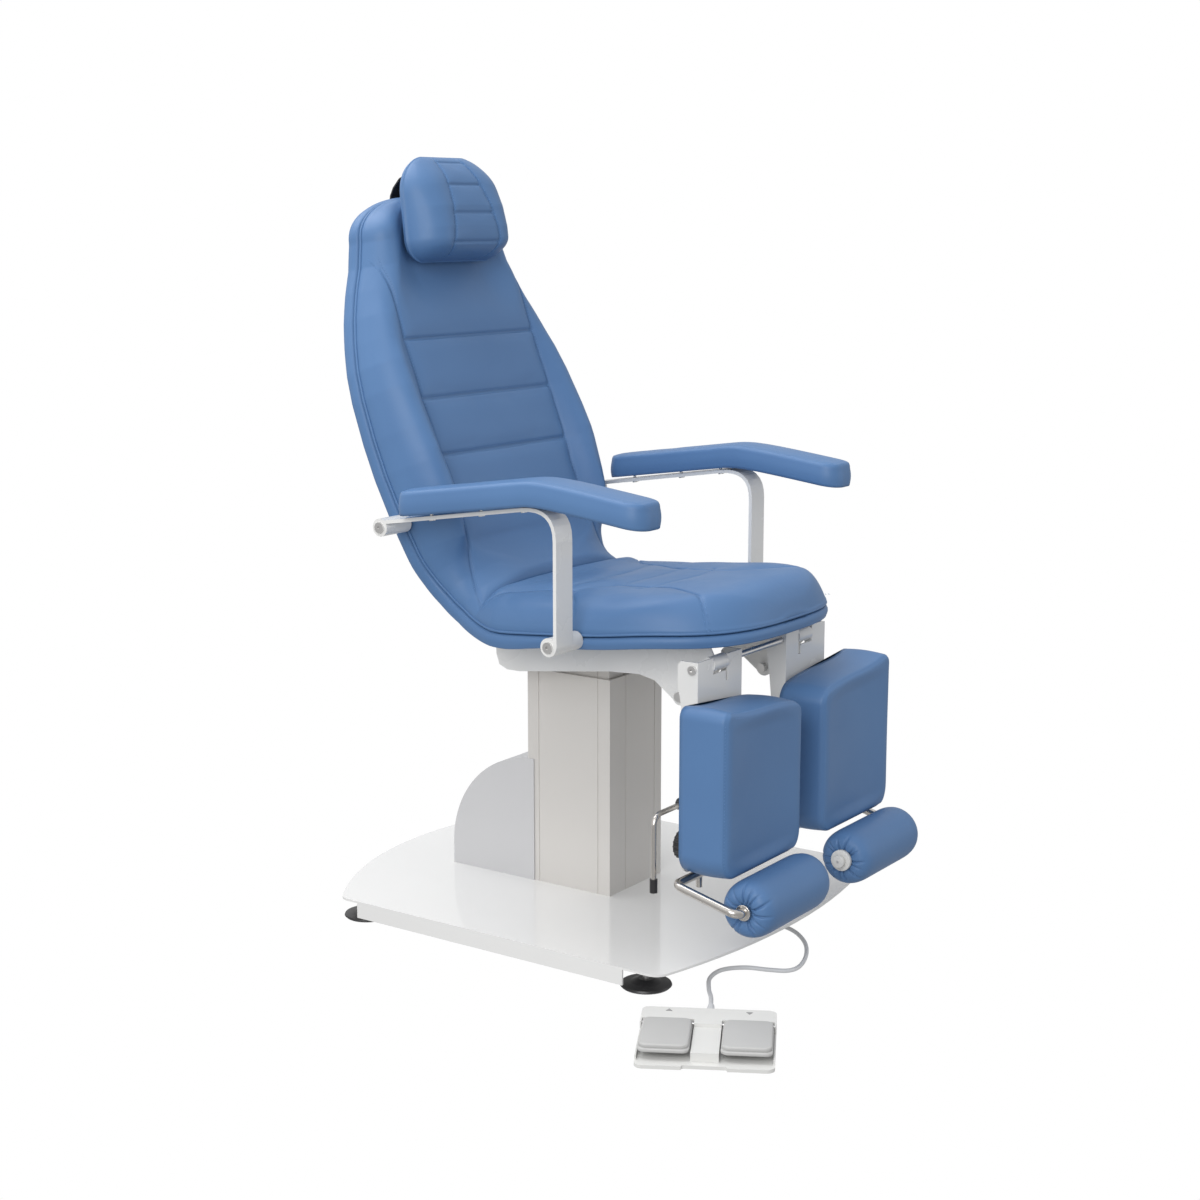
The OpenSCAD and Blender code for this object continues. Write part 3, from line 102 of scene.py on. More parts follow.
def surfaceWear():  # soft uneven gloss and a few dusty clouds
    group, entry, leave = newGroup("surfaceWear", {"Scale": 12.0, "Low": 0.2, "High": 0.35},
                                   ("Roughness", "Mask"))
    noise = addNode(group, "ShaderNodeTexNoise",
                    {"Detail": 5, "Vector": entry["Vector"], "Scale": entry["Scale"]})
    span = addNode(group, "ShaderNodeMapRange",
                   {"From Min": 0.3, "From Max": 0.7, "Value": noise.outputs["Fac"],
                    "To Min": entry["Low"], "To Max": entry["High"]})
    group.links.new(span.outputs["Result"], leave["Roughness"])
    group.links.new(noise.outputs["Fac"], leave["Mask"])
    return group


grainGroup = leatherGrain()
wearGroup = surfaceWear()


def startMaterial(name, color, **shader):
    mat = bpy.data.materials.new(name)
    mat.use_nodes = True
    tree = mat.node_tree
    bsdf = tree.nodes["Principled BSDF"]
    bsdf.inputs["Base Color"].default_value = (*color, 1)
    for key, value in shader.items():
        bsdf.inputs[key.replace("_", " ")].default_value = value
    where = addNode(tree, "ShaderNodeTexCoord")
    return mat, tree, bsdf, where.outputs["Object"]


def placeGroup(tree, group, vector, **inputs):
    return addNode(tree, "ShaderNodeGroup", {"Vector": vector, **inputs}, node_tree=group)


def tintBetween(tree, mask, dark, light, bsdf):
    mix = addNode(tree, "ShaderNodeMix", {"A": (*dark, 1), "B": (*light, 1), "Factor": mask}, data_type="RGBA")
    tree.links.new(mix.outputs["Result"], bsdf.inputs["Base Color"])


def bumpFrom(tree, height, bsdf, strength, distance):
    bump = addNode(tree, "ShaderNodeBump", {"Strength": strength, "Distance": distance, "Height": height})
    tree.links.new(bump.outputs["Normal"], bsdf.inputs["Normal"])


def addWear(tree, vector, bsdf, scale, low, high):
    wear = placeGroup(tree, wearGroup, vector, Scale=scale, Low=low, High=high)
    tree.links.new(wear.outputs["Roughness"], bsdf.inputs["Roughness"])
    return wear.outputs["Mask"]


def vinylMaterial(name, dark, light):
    mat, tree, bsdf, vector = startMaterial(name, light, IOR=1.48, Specular_IOR_Level=0.34)
    grain = placeGroup(tree, grainGroup, vector, Cells=1100.0, Cloud=5.0)
    tintBetween(tree, grain.outputs["Tint"], dark, light, bsdf)
    addWear(tree, vector, bsdf, 9.0, 0.40, 0.50)
    bumpFrom(tree, grain.outputs["Height"], bsdf, 0.18, 0.0004)
    return mat


def paintMaterial(name, color, low, high, coat=0.6):
    mat, tree, bsdf, vector = startMaterial(name, color, Coat_Weight=coat, Coat_Roughness=0.06)
    mask = addWear(tree, vector, bsdf, 7.0, low, high)
    tintBetween(tree, mask, tuple(c * 0.97 for c in color), color, bsdf)
    peel = addNode(tree, "ShaderNodeTexNoise", {"Scale": 260, "Vector": vector})
    bumpFrom(tree, peel.outputs["Fac"], bsdf, 0.04, 0.0003)
    return mat


def plasticMaterial(name, color, low, high, cells=1600.0, strength=0.10):
    mat, tree, bsdf, vector = startMaterial(name, color)
    grain = placeGroup(tree, grainGroup, vector, Cells=cells, Cloud=14.0)
    tintBetween(tree, grain.outputs["Tint"], tuple(c * 0.94 for c in color), color, bsdf)
    addWear(tree, vector, bsdf, 16.0, low, high)
    bumpFrom(tree, grain.outputs["Height"], bsdf, strength, 0.0002)
    return mat


def metalMaterial(name, color, low, high, metallic, stretch=(1.0, 1.0, 1.0)):
    mat, tree, bsdf, vector = startMaterial(name, color, Metallic=metallic)
    lines = addNode(tree, "ShaderNodeMapping", {"Scale": stretch, "Vector": vector})
    mask = addWear(tree, lines.outputs["Vector"], bsdf, 30.0, low, high)
    tintBetween(tree, mask, tuple(c * 0.96 for c in color), color, bsdf)
    bumpFrom(tree, mask, bsdf, 0.02, 0.0001)
    return mat


materials = {
    "vinyl": vinylMaterial("blueVinyl", (0.074, 0.158, 0.325), (0.090, 0.190, 0.375)),
    "thread": vinylMaterial("seamThread", (0.10, 0.22, 0.45), (0.13, 0.27, 0.52)),
    "whitePaint": paintMaterial("whitePaint", (0.72, 0.72, 0.71), 0.22, 0.32),
    "glossWhite": paintMaterial("glossWhiteBase", (0.74, 0.74, 0.735), 0.10, 0.16, 0.9),
    "whitePlastic": plasticMaterial("whitePlastic", (0.68, 0.68, 0.665), 0.32, 0.42),
    "coverGrey": paintMaterial("coverGrey", (0.52, 0.52, 0.53), 0.38, 0.48, 0.15),
    "pedalGrey": plasticMaterial("pedalGrey", (0.46, 0.46, 0.455), 0.42, 0.55, 900.0, 0.2),
    "blackPlastic": plasticMaterial("blackPlastic", (0.018, 0.018, 0.02), 0.34, 0.46),
    "blackMetal": paintMaterial("blackMetal", (0.016, 0.016, 0.018), 0.35, 0.45, 0.2),
    "column": metalMaterial("columnAluminium", (0.66, 0.64, 0.615), 0.36, 0.46, 0.35, (60.0, 60.0, 1.0)),
    "stainless": metalMaterial("stainlessTube", (0.60, 0.575, 0.545), 0.20, 0.27, 1.0, (2.0, 2.0, 2.0)),
    "zinc": metalMaterial("zincSteel", (0.66, 0.655, 0.65), 0.26, 0.38, 1.0),
    "markGrey": plasticMaterial("markGrey", (0.30, 0.30, 0.30), 0.4, 0.5),
    "rubber": plasticMaterial("softRubber", (0.02, 0.02, 0.02), 0.6, 0.75, 700.0, 0.25),
    "cable": plasticMaterial("cableSheath", (0.62, 0.63, 0.65), 0.38, 0.48, 1200.0, 0.05),
}
print("materials made")


def bothSides(*names):
    return [name + hand for name in names for hand in ("_right", "_left")]


nodeLooks = {
    "glossWhite": ["base_plate"],
    "whitePaint": ["base_frame", "seat_frame", *bothSides("armrest_bar", "leg_bracket", "calf_carriage")],
    "whitePlastic": ["column_glides", "control_housing", *bothSides("roll_retainers")],
    "coverGrey": ["rear_cover", "lift_actuator", "control_box"],
    "pedalGrey": ["pedal_up", "pedal_down"],
    "blackPlastic": ["levelling_feet", "cable_gland", "headrest_guide",
                     *bothSides("lever_fittings", "clamp_knob")],
    "blackMetal": ["headrest_bracket"],
    "column": ["column_outer", "column_inner"],
    "stainless": bothSides("clamp_lever", "roll_arm"),
    "zinc": ["foot_studs", "stop_bolts", "hinge_shaft", "hinge_screws", "armrest_caps", "armrest_bolts",
             "armrest_pad_screws", "pedal_pins", "lift_rod"],
    "rubber": ["control_feet"],
    "cable": ["cable_relief", "control_cable"],
    "vinyl": ["seat_shell", "seat_cushion", "back_cushion", "headrest_pillow",
              *bothSides("armrest_pad", "calf_pad", "foot_roll")],
}
for look, names in nodeLooks.items():
    for name in names:
        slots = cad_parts[name].material_slots
        for i in range(len(slots)):
            slots[i].material = materials[look]
        if not len(slots):
            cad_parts[name].data.materials.append(materials[look])

# ---- helpers for meshes ----


def makePiece(name, verts, faces, look, body):
    mesh = bpy.data.meshes.new(name)
    mesh.from_pydata([tuple(v) for v in verts], [], [tuple(int(i) for i in f) for f in faces])
    mesh.update()
    obj = bpy.data.objects.new(name, mesh)
    bpy.context.scene.collection.objects.link(obj)
    mesh.materials.append(materials[look])
    mesh.polygons.foreach_set("use_smooth", [True] * len(mesh.polygons))
    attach(obj, body)
    bm = bmesh.new()  # all faces are turned outwards
    bm.from_mesh(mesh)
    bmesh.ops.recalc_face_normals(bm, faces=bm.faces)
    bm.to_mesh(mesh)
    bm.free()
    return obj


def gridFaces(rows, cols, wrapped=False):
    i, j = np.meshgrid(np.arange(rows - 1), np.arange(cols if wrapped else cols - 1), indexing="ij")
    i, j = i.ravel(), j.ravel()
    k = (j + 1) % cols
    return list(np.stack([i * cols + j, i * cols + k, (i + 1) * cols + k, (i + 1) * cols + j], 1))


def closingFaces(rows, cols):  # from the last row back to the first
    last = (rows - 1) * cols
    return [(last + j, last + (j + 1) % cols, (j + 1) % cols, j) for j in range(cols)]


def pickOnly(obj):
    bpy.ops.object.select_all(action="DESELECT")
    obj.select_set(True)
    bpy.context.view_layer.objects.active = obj


def applyAll(obj):
    pickOnly(obj)
    for mod in list(obj.modifiers):
        bpy.ops.object.modifier_apply(modifier=mod.name)


def tubeMesh(points, radius, sides=12, closed=False):
    p = np.asarray(points, float)
    n = len(p)
    ahead = np.roll(p, -1, 0) - np.roll(p, 1, 0)
    if not closed:
        ahead[0], ahead[-1] = p[1] - p[0], p[-1] - p[-2]
    ahead /= np.linalg.norm(ahead, axis=1)[:, None]
    up = np.zeros_like(p)
    guess = np.cross(ahead[0], (0.0, 0.0, 1.0))
    for i in range(n):
        guess = guess - ahead[i] * (guess @ ahead[i])
        guess /= np.linalg.norm(guess)
        up[i] = guess
    other = np.cross(ahead, up)
    a = np.arange(sides) * 2 * np.pi / sides
    ring = up[:, None] * np.cos(a)[None, :, None] + other[:, None] * np.sin(a)[None, :, None]
    verts = (p[:, None] + radius * ring).reshape(-1, 3)
    faces = gridFaces(n, sides, True)
    if closed:
        faces += closingFaces(n, sides)
    else:
        faces += [tuple(range(sides))[::-1], tuple((n - 1) * sides + j for j in range(sides))]
    return verts, faces


# ---- cable from the foot control ----
cableRoute = {"diameter": 8.0, "points": [
    (-361.9, -495.8, 13.0), (-306, -462, 6), (-268, -434, 4), (-222, -408, 4), (-176, -405, 4),
    (-142, -433, 4), (-126, -477, 4), (-110, -506, 4), (-78, -512, 4), (-22, -494, 4), (33, -461, 4),
    (75, -416, 4), (92, -370, 4), (97, -300, 6), (94, -230, 20), (90, -170, 38), (90, -115.5, 45)]}


def curveThrough(points, n=60):  # smooth line through the given places
    p = np.asarray(points, float)
    k = np.linspace(0, len(p) - 1, n)
    i = np.clip(k.astype(int), 0, len(p) - 2)
    f = (k - i)[:, None]
    a, b, c, d = p[np.maximum(i - 1, 0)], p[i], p[i + 1], p[np.minimum(i + 2, len(p) - 1)]
    return 0.5 * (2 * b + (c - a) * f + (2 * a - 5 * b + 4 * c - d) * f ** 2
                  + (3 * b - a - 3 * c + d) * f ** 3)


def makeCable():
    line = curveThrough(cableRoute["points"], 6 * len(cableRoute["points"]) - 5)
    radius = cableRoute["diameter"] / 2
    line[:, 2] = np.maximum(line[:, 2], radius)
    path = placeMm(line)
    verts, faces = tubeMesh(path, radius / 1000, 14)
    cable = makePiece("controlCable", verts, faces, "cable", "base")
    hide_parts("control_cable")


makeCable()

# ---- the curved board under the cushions, as a path seen from the side (mm) ----
board = {"start": (-447.7, 603.3), "seat": 457.3, "back": 356.3, "topBend": 255.0, "top": 91.0,
         "seatTilt": 4.5, "backLean": 21.5, "topLean": 8.0, "hipRadius": 240.0, "halfWidth": 294.0,
         "thick": 30.0, "frontRound": 330.0, "frontPower": 3.0, "topRound": 84.0, "topPower": 2.2,
         "swayRise": 4.5, "swayAt": 150.0, "swayReach": 85.0, "swayIn": 110.0, "swaySoft": 120.0}
hipLength = board["hipRadius"] * math.radians(90 - board["backLean"] + board["seatTilt"])
topRadius = board["topBend"] / math.radians(board["backLean"] - board["topLean"])
boardLength = board["seat"] + hipLength + board["back"] + board["topBend"] + board["top"]
widthShares = np.array([[0, 0.93], [0.218, 0.93], [0.293, 0.94], [0.341, 0.925], [0.375, 0.88],
                        [0.409, 0.84], [0.444, 0.84], [0.478, 0.87], [0.505, 0.905], [0.546, 0.945],
                        [0.573, 0.966], [0.625, 0.995], [0.672, 1], [0.728, 0.985], [0.764, 0.955],
                        [0.8, 0.905], [0.835, 0.85], [0.871, 0.78], [0.904, 0.705], [0.939, 0.66], [1, 0.64]])


def boardPath(s):  # side view place (y, z) and heading along the outer face
    s = np.asarray(s, float)
    k = board
    a0, a1, a2 = -math.radians(k["seatTilt"]), math.radians(90 - k["backLean"]), math.radians(90 - k["topLean"])
    e1 = np.clip(s, None, k["seat"])
    e2 = np.clip(s - k["seat"], 0, hipLength)
    e3 = np.clip(s - k["seat"] - hipLength, 0, k["back"])
    e4 = np.clip(s - k["seat"] - hipLength - k["back"], 0, k["topBend"])
    e5 = np.clip(s - k["seat"] - hipLength - k["back"] - k["topBend"], 0, None)
    h2, h4 = a0 + e2 / k["hipRadius"], a1 + e4 / topRadius
    y = k["start"][0] + e1 * math.cos(a0) + k["hipRadius"] * (np.sin(h2) - math.sin(a0)) \
        + e3 * math.cos(a1) + topRadius * (np.sin(h4) - math.sin(a1)) + e5 * math.cos(a2)
    z = k["start"][1] + e1 * math.sin(a0) + k["hipRadius"] * (math.cos(a0) - np.cos(h2)) \
        + e3 * math.sin(a1) + topRadius * (math.cos(a1) - np.cos(h4)) + e5 * math.sin(a2)
    return y, z, a0 + e2 / k["hipRadius"] + e4 / topRadius


def sway(s, x):  # the sides of the seat rise softly beside the thighs
    k = board
    return k["swayRise"] * np.exp(-((s - k["swayAt"]) / k["swayReach"]) ** 2) \
        * smoothStep((np.abs(x) - k["swayIn"]) / k["swaySoft"])


def boardPoint(s, x, h):
    y, z, a = boardPath(s)
    h = h + sway(s, x)
    return np.stack(np.broadcast_arrays(x, y - h * np.sin(a), z + h * np.cos(a)), -1)


def rounding(d, span, power):
    return np.maximum(0, 1 - np.clip((span - d) / span, 0, 1) ** power) ** (1 / power)


def halfWidth(s):
    return board["halfWidth"] * np.interp(s / boardLength, widthShares[:, 0], widthShares[:, 1]) \
        * rounding(s, board["frontRound"], board["frontPower"]) \
        * rounding(boardLength - s, board["topRound"], board["topPower"])


def frontOf(x):
    r = board["frontRound"]
    w = board["halfWidth"] * widthShares[0, 1]
    return r * (1 - np.maximum(0, 1 - (np.abs(x) / w) ** board["frontPower"]) ** (1 / board["frontPower"]))


def edgeShare(d, r):
    return np.sqrt(np.maximum(0, 1 - np.clip((r - d) / r, 0, 1) ** 2))


def smoothStep(t):
    t = np.clip(t, 0, 1)
    return t * t * (3 - 2 * t)


def groove(d, w):  # narrow sewn valley, 1 on the seam
    return np.exp(-(d / w) ** 2)


def padSolid(low, high, walls, bulge, domed):  # padded top, rounded walls, and an underside that may be domed
    rows, cols = high.shape[:2]
    n = rows * cols
    low = np.broadcast_to(low, high.shape)
    rim = np.concatenate([np.arange(cols), np.arange(1, rows) * cols + cols - 1,
                          (rows - 1) * cols + np.arange(cols - 2, -1, -1), np.arange(rows - 2, 0, -1) * cols])
    lowRim, highRim = low.reshape(-1, 3)[rim], high.reshape(-1, 3)[rim]
    middle = lowRim.mean(0)
    along = np.roll(lowRim, -1, 0) - np.roll(lowRim, 1, 0)
    out = np.cross(along, highRim - lowRim)
    out /= np.maximum(np.linalg.norm(out, axis=1), 1e-9)[:, None]
    out *= np.sign((out * (lowRim - middle)).sum(1))[:, None]
    m = len(rim)
    verts, loops = [high.reshape(-1, 3), lowRim], [n + np.arange(m)]
    for k in range(1, walls + 1):
        t = k / (walls + 1)
        verts.append(lowRim + (highRim - lowRim) * t + out * bulge * math.sin(math.pi * t))
        loops.append(n + k * m + np.arange(m))
    loops.append(rim)
    faces = gridFaces(rows, cols)
    for a, b in zip(loops[:-1], loops[1:]):
        faces += list(np.stack([a, np.roll(a, -1), np.roll(b, -1), b], 1))
    if domed:
        under = np.full(n, -1)
        under[rim] = n + np.arange(m)
        inner = np.flatnonzero(under < 0)
        under[inner] = sum(len(v) for v in verts) + np.arange(len(inner))
        verts.append(low.reshape(-1, 3)[inner])
        return np.concatenate(verts), faces + [under[f][::-1] for f in gridFaces(rows, cols)]
    right, left = n + cols - 1 + np.arange(rows), n + (m - np.arange(rows)) % m
    faces.append(tuple(n + np.arange(cols)) + (right[1], left[1]))
    faces += [(left[i], right[i], right[i + 1], left[i + 1]) for i in range(1, rows - 2)]
    faces.append((left[-2], right[-2]) + tuple(right[-1] + np.arange(cols)))
    return np.concatenate(verts), faces


# ---- filling of the covers ----
fillLook = {"frames": 10, "quality": 5, "pressure": 4.0, "mass": 0.35, "tension": 30.0, "bending": 6.0,
            "slack": -0.001, "rim": 3.0, "edge": 2.0, "reach": 9.0, "end": 0.012, "evenings": 10, "keep": 0.4}


def neighbourSums(shift, a, b):  # for each point, the sum over the points that an edge joins to it
    return np.stack([np.bincount(a, shift[b, c], len(shift)) + np.bincount(b, shift[a, c], len(shift))
                     for c in range(3)], 1)


def placesOf(obj):
    flat = np.empty(len(obj.data.vertices) * 3)
    obj.data.vertices.foreach_get("co", flat)
    return flat.reshape(-1, 3)


def swell(obj, held, cap):  # the cover is blown up as cloth between its seams, by no more than cap
    k = fillLook
    group = obj.vertex_groups.new(name="held")
    group.add([int(i) for i in held], 1.0, "REPLACE")
    rest = placesOf(obj)
    mod = obj.modifiers.new("filling", "CLOTH")
    cloth = mod.settings
    cloth.quality = k["quality"]
    cloth.mass = k["mass"]
    cloth.tension_stiffness = cloth.compression_stiffness = k["tension"]
    cloth.bending_stiffness = k["bending"]
    cloth.use_pressure = True
    cloth.uniform_pressure_force = k["pressure"]
    cloth.shrink_min = k["slack"]
    cloth.vertex_group_mass = "held"
    cloth.effector_weights.gravity = 0
    mod.collision_settings.use_collision = False
    mod.point_cache.frame_start, mod.point_cache.frame_end = 1, k["frames"]
    for step in range(1, k["frames"] + 1):
        bpy.context.scene.frame_set(step)
    applyAll(obj)
    bpy.context.scene.frame_set(1)
    shift = placesOf(obj) - rest
    lines = np.empty(len(obj.data.edges) * 2, np.int64)
    obj.data.edges.foreach_get("vertices", lines)
    a, b = lines.reshape(-1, 2).T
    count = np.bincount(lines, minlength=len(rest))[:, None]
    for _ in range(k["evenings"]):  # thick vinyl takes no fine creases
        shift = k["keep"] * shift + (1 - k["keep"]) * neighbourSums(shift, a, b) / count
        shift[held] = 0
    size = np.maximum(np.linalg.norm(shift, axis=1), 1e-9)[:, None]
    obj.data.vertices.foreach_set("co", (rest + shift * cap * np.tanh(size / cap) / size).ravel())
    obj.data.update()
    obj.vertex_groups.clear()
    print(obj.name, "filled, moved up to", round(float((cap * np.tanh(size / cap)).max()) * 1000, 1), "mm")


def softPiece(name, low, high, body, nodes, walls=3, bulge=2.0, domed=False, sewn=None, cap=0.0):
    verts, faces = padSolid(low, high, walls, bulge, domed)
    obj = makePiece(name, placeMm(verts), faces, "vinyl", body)
    if sewn is not None:
        top = high.shape[0] * high.shape[1]
        fast = np.flatnonzero(np.broadcast_to(sewn, high.shape[:2]).ravel())
        swell(obj, np.concatenate([fast, np.arange(top, len(verts))]), cap / 1000)
    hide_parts(*nodes)
    return obj


def ends(n, sharp=1.6):  # stations from 0 to 1, closer together at both ends
    t = np.linspace(-1, 1, n)
    return 0.5 + 0.5 * np.sign(t) * (1 - (1 - np.abs(t)) ** sharp)


def shareAt(u, table):  # value at u of a table of pairs
    return np.interp(u, [q[0] for q in table], [q[1] for q in table])


def awayFrom(s, x, line):  # distance of each place from a line of places, and the side it lies on
    s, x = np.broadcast_arrays(s, x)
    best, side = np.full(s.shape, 1e9), np.zeros(s.shape)
    for (s0, x0), (s1, x1) in zip(line[:-1], line[1:]):
        ds, dx = s1 - s0, x1 - x0
        k = np.clip(((s - s0) * ds + (x - x0) * dx) / (ds * ds + dx * dx + 1e-9), 0, 1)
        d = np.hypot(s - s0 - k * ds, x - x0 - k * dx)
        near = d < best
        best = np.where(near, d, best)
        side = np.where(near, np.sign((x - x0) * ds - (s - s0) * dx), side)
    return best, side


def patch(rows, cols, up, across):  # shares 0 to 1 along and -1 to 1 across
    return ends(rows, up)[:, None], (ends(cols, across) * 2 - 1)[None, :]


def roundOff(d, r):  # how far a corner of radius r draws in at distance d
    return r * (1 - edgeShare(d, r))


def creaseShare(d, r):  # both cushions keep two thirds of their height where they meet
    return 0.66 + 0.34 * edgeShare(d, r)


def seamLine(s, x, line, width, soft=3.2, share=0.3):  # narrow stitched valley with a soft dip round it
    d = awayFrom(s, x, line)[0]
    return groove(d, width) + share * groove(d, soft * width)


def seamDip(s, x, look, seams, weaker=()):  # how deep the seams draw the cover in
    cut = sum(seamLine(s, x, line, look["seamWidth"]) for line in seams)
    cut = cut + 0.6 * sum(seamLine(s, x, line, look["seamWidth"]) for line in weaker)
    return look["seamDepth"] * np.minimum(cut, 1.3)


def sewnDown(s, x, seams, half, share):  # places on a seam or at the rim
    k = fillLook
    near = np.minimum(half - k["edge"] - np.abs(x), k["reach"])
    for line in seams:
        near = np.minimum(near, awayFrom(s, x, line)[0])
    return (near < k["rim"]) | (share < k["end"]) | (share > 1 - k["end"])


stitchLook = {"length": 3.6, "gap": 2.6, "width": 1.1, "height": 0.7, "beside": 3.4, "inset": 0.8,
              "sunk": 0.3, "flank": 0.4}


def addStitches(name, lines, place, body, sides=(-1, 1)):  # short raised threads beside the seams
    k = stitchLook
    verts, faces = [], []
    for line in lines:
        line = np.asarray(line, float)
        step = np.hypot(*np.diff(line, axis=0).T)
        run = np.concatenate([[0], np.cumsum(step)])
        starts = np.arange(k["gap"], run[-1] - k["length"], k["length"] + k["gap"])

        def alongLine(d):
            return np.stack([np.interp(d, run, line[:, c]) for c in (0, 1)], 1)

        for side in sides:
            tips = []
            for shift in (0, k["length"]):
                q = alongLine(starts + shift)
                d = alongLine(starts + shift + 1) - q
                d /= np.maximum(np.linalg.norm(d, axis=1), 1e-9)[:, None]
                tips.append(q + side * k["beside"] * np.stack([-d[:, 1], d[:, 0]], 1))
            a, b = tips
            a3, b3 = place(a[:, 0], a[:, 1]), place(b[:, 0], b[:, 1])
            du = place(a[:, 0] + 1, a[:, 1]) - a3
            dv = place(a[:, 0], a[:, 1] + 1) - a3
            up = np.cross(dv, du)
            up /= np.linalg.norm(up, axis=1)[:, None]
            along = b3 - a3
            along /= np.linalg.norm(along, axis=1)[:, None]
            wide = np.cross(up, along) * k["width"] / 2
            if np.mean(up[:, 2] - up[:, 1]) < 0:
                up = -up
            for i in range(len(a3)):
                n = len(verts)
                inset, top, sunk = along[i] * k["inset"], k["height"], -k["sunk"]
                for p, lift in ((a3[i], sunk), (a3[i] + inset, top), (b3[i] - inset, top), (b3[i], sunk)):
                    flank = up[i] * lift * (k["flank"] if lift > 0 else 1)
                    verts += [p - wide[i] + flank, p + up[i] * lift, p + wide[i] + flank]
                for r in range(3):
                    m = n + 3 * r
                    faces += [(m, m + 3, m + 4, m + 1), (m + 1, m + 4, m + 5, m + 2), (m + 2, m + 5, m + 3, m)]
                faces += [(n, n + 1, n + 2), (n + 9, n + 11, n + 10)]
    obj = makePiece(name, placeMm(np.array(verts)), faces, "thread", body)


# ---- padded board that carries both cushions ----
bandLook = {"rows": 260, "cols": 60, "round": 5.0, "bulge": 3.2, "rise": 6.0, "riseIn": 60.0,
            "riseTo": 470.0, "riseFade": 120.0, "inset": 0.35}


def makeBoard():
    k = bandLook
    u, t = patch(k["rows"], k["cols"], 2.2, 1.8)
    s = k["inset"] + (boardLength - 2 * k["inset"]) * u
    w = halfWidth(s)
    d = np.minimum(w * (1 - np.abs(t)), np.minimum(s - frontOf(t * w), boardLength - s))
    lift = roundOff(np.maximum(d, 0), k["round"])
    rise = k["rise"] * smoothStep((k["riseTo"] - s) / k["riseFade"]) * smoothStep(1 - d / k["riseIn"])
    low = boardPoint(s, t * w, lift * 0.8 + rise)
    high = boardPoint(s, t * w, board["thick"] - 0.5 * lift)
    softPiece("boardCover", high, low, "seat", ["seat_shell"], 4, k["bulge"])


# ---- seat cushion ----
seatLook = {
    "base": 30.3, "rim": 9.0, "thick": 69.0, "sideRound": 58.0, "frontRound": 60.0, "endRound": 30.0,
    "crease": 554.0, "creaseBow": 14.0, "seamWidth": 2.6, "seamDepth": 3.4, "foldDepth": 6.5,
    "foldWidth": 30.0, "foldLine": 5.0, "foldFade": 90.0, "ridgeAt": 26.0, "ridgeWidth": 24.0,
    "ridgeRise": 3.0, "crown": 0.07, "sideSwell": 3.5, "swellReach": 60.0, "gap": 0.3, "inset": 2.0,
    "bolster": [(560, 262), (528, 238), (484, 206), (440, 178), (385, 158), (328, 127), (274, 110),
                (225, 108), (185, 113), (145, 140), (112, 165), (80, 188), (52, 212), (26, 232)],
    "fold": [(292, 285), (318, 240), (345, 205), (362, 172), (352, 148), (330, 128)],
    "channels": [[(250, 133), (229, 90), (217, 40), (214, 0), (217, -40), (229, -90), (250, -133)],
                 [(312, 128), (303, 90), (297, 45), (296, 0), (297, -45), (303, -90), (312, -128)],
                 [(416, 168), (402, 120), (390, 60), (387, 0), (390, -60), (402, -120), (416, -168)]],
}


def creaseAt(t):
    return seatLook["crease"] + seatLook["creaseBow"] * (1 - t * t)


def mirrored(line):
    return [(a, -b) for a, b in line]


seatSeams = [curveThrough(seatLook["bolster"]), curveThrough(mirrored(seatLook["bolster"]))]
seatSeams += [curveThrough(c) for c in seatLook["channels"]]


def seatTop(s, x):
    k = seatLook
    w = halfWidth(s)
    t = np.clip(x / np.maximum(w, 1), -1, 1)
    side, front, end = w - np.abs(x), s - frontOf(x), creaseAt(t) - s
    share = edgeShare(side, k["sideRound"]) * edgeShare(front, k["frontRound"]) \
        * creaseShare(end, k["endRound"])
    h = k["rim"] + (k["thick"] - k["rim"]) * share * (1 - k["crown"] * t * t)
    d, inside = awayFrom(s, np.abs(x), seatSeams[0])
    outer = np.clip(inside, 0, 1)
    h = h + k["sideSwell"] * outer * np.sin(np.clip(d / k["swellReach"], 0, 1) * np.pi / 2) * share
    h = h - seamDip(s, x, k, seatSeams[:2], seatSeams[2:]) * np.clip(share * 1.1, 0, 1)
    df, behind = awayFrom(s, np.abs(x), curveThrough(k["fold"]))
    rear = np.clip(behind, 0, 1)
    near = share * (0.25 + 0.75 * smoothStep(-x / k["foldFade"]))
    dip = groove(df, k["foldLine"]) * 0.5 + groove(df, k["foldWidth"]) * rear
    ridge = k["ridgeRise"] * near * groove(df - k["ridgeAt"], k["ridgeWidth"]) * (1 - rear)
    return k["base"] + (h - k["foldDepth"] * near * dip + ridge)


def seatPlace(s, x):
    return boardPoint(s, x, seatTop(s, x))


def makeSeatCushion():
    k = seatLook
    v, t = patch(196, 214, 1.25, 1.25)
    s = 2 * k["gap"] + (creaseAt(t) - k["gap"] - 2 * k["gap"]) * v
    x = t * (halfWidth(s) - k["inset"])
    softPiece("seatCushion", boardPoint(s, x, k["base"]), seatPlace(s, x), "seat", ["seat_cushion"],
              3, 2.5, sewn=sewnDown(s, x, seatSeams, halfWidth(s), v), cap=4.0)
    addStitches("seatStitches", [seatSeams[0][2:-3], seatSeams[1][2:-3]], seatPlace, "seat")


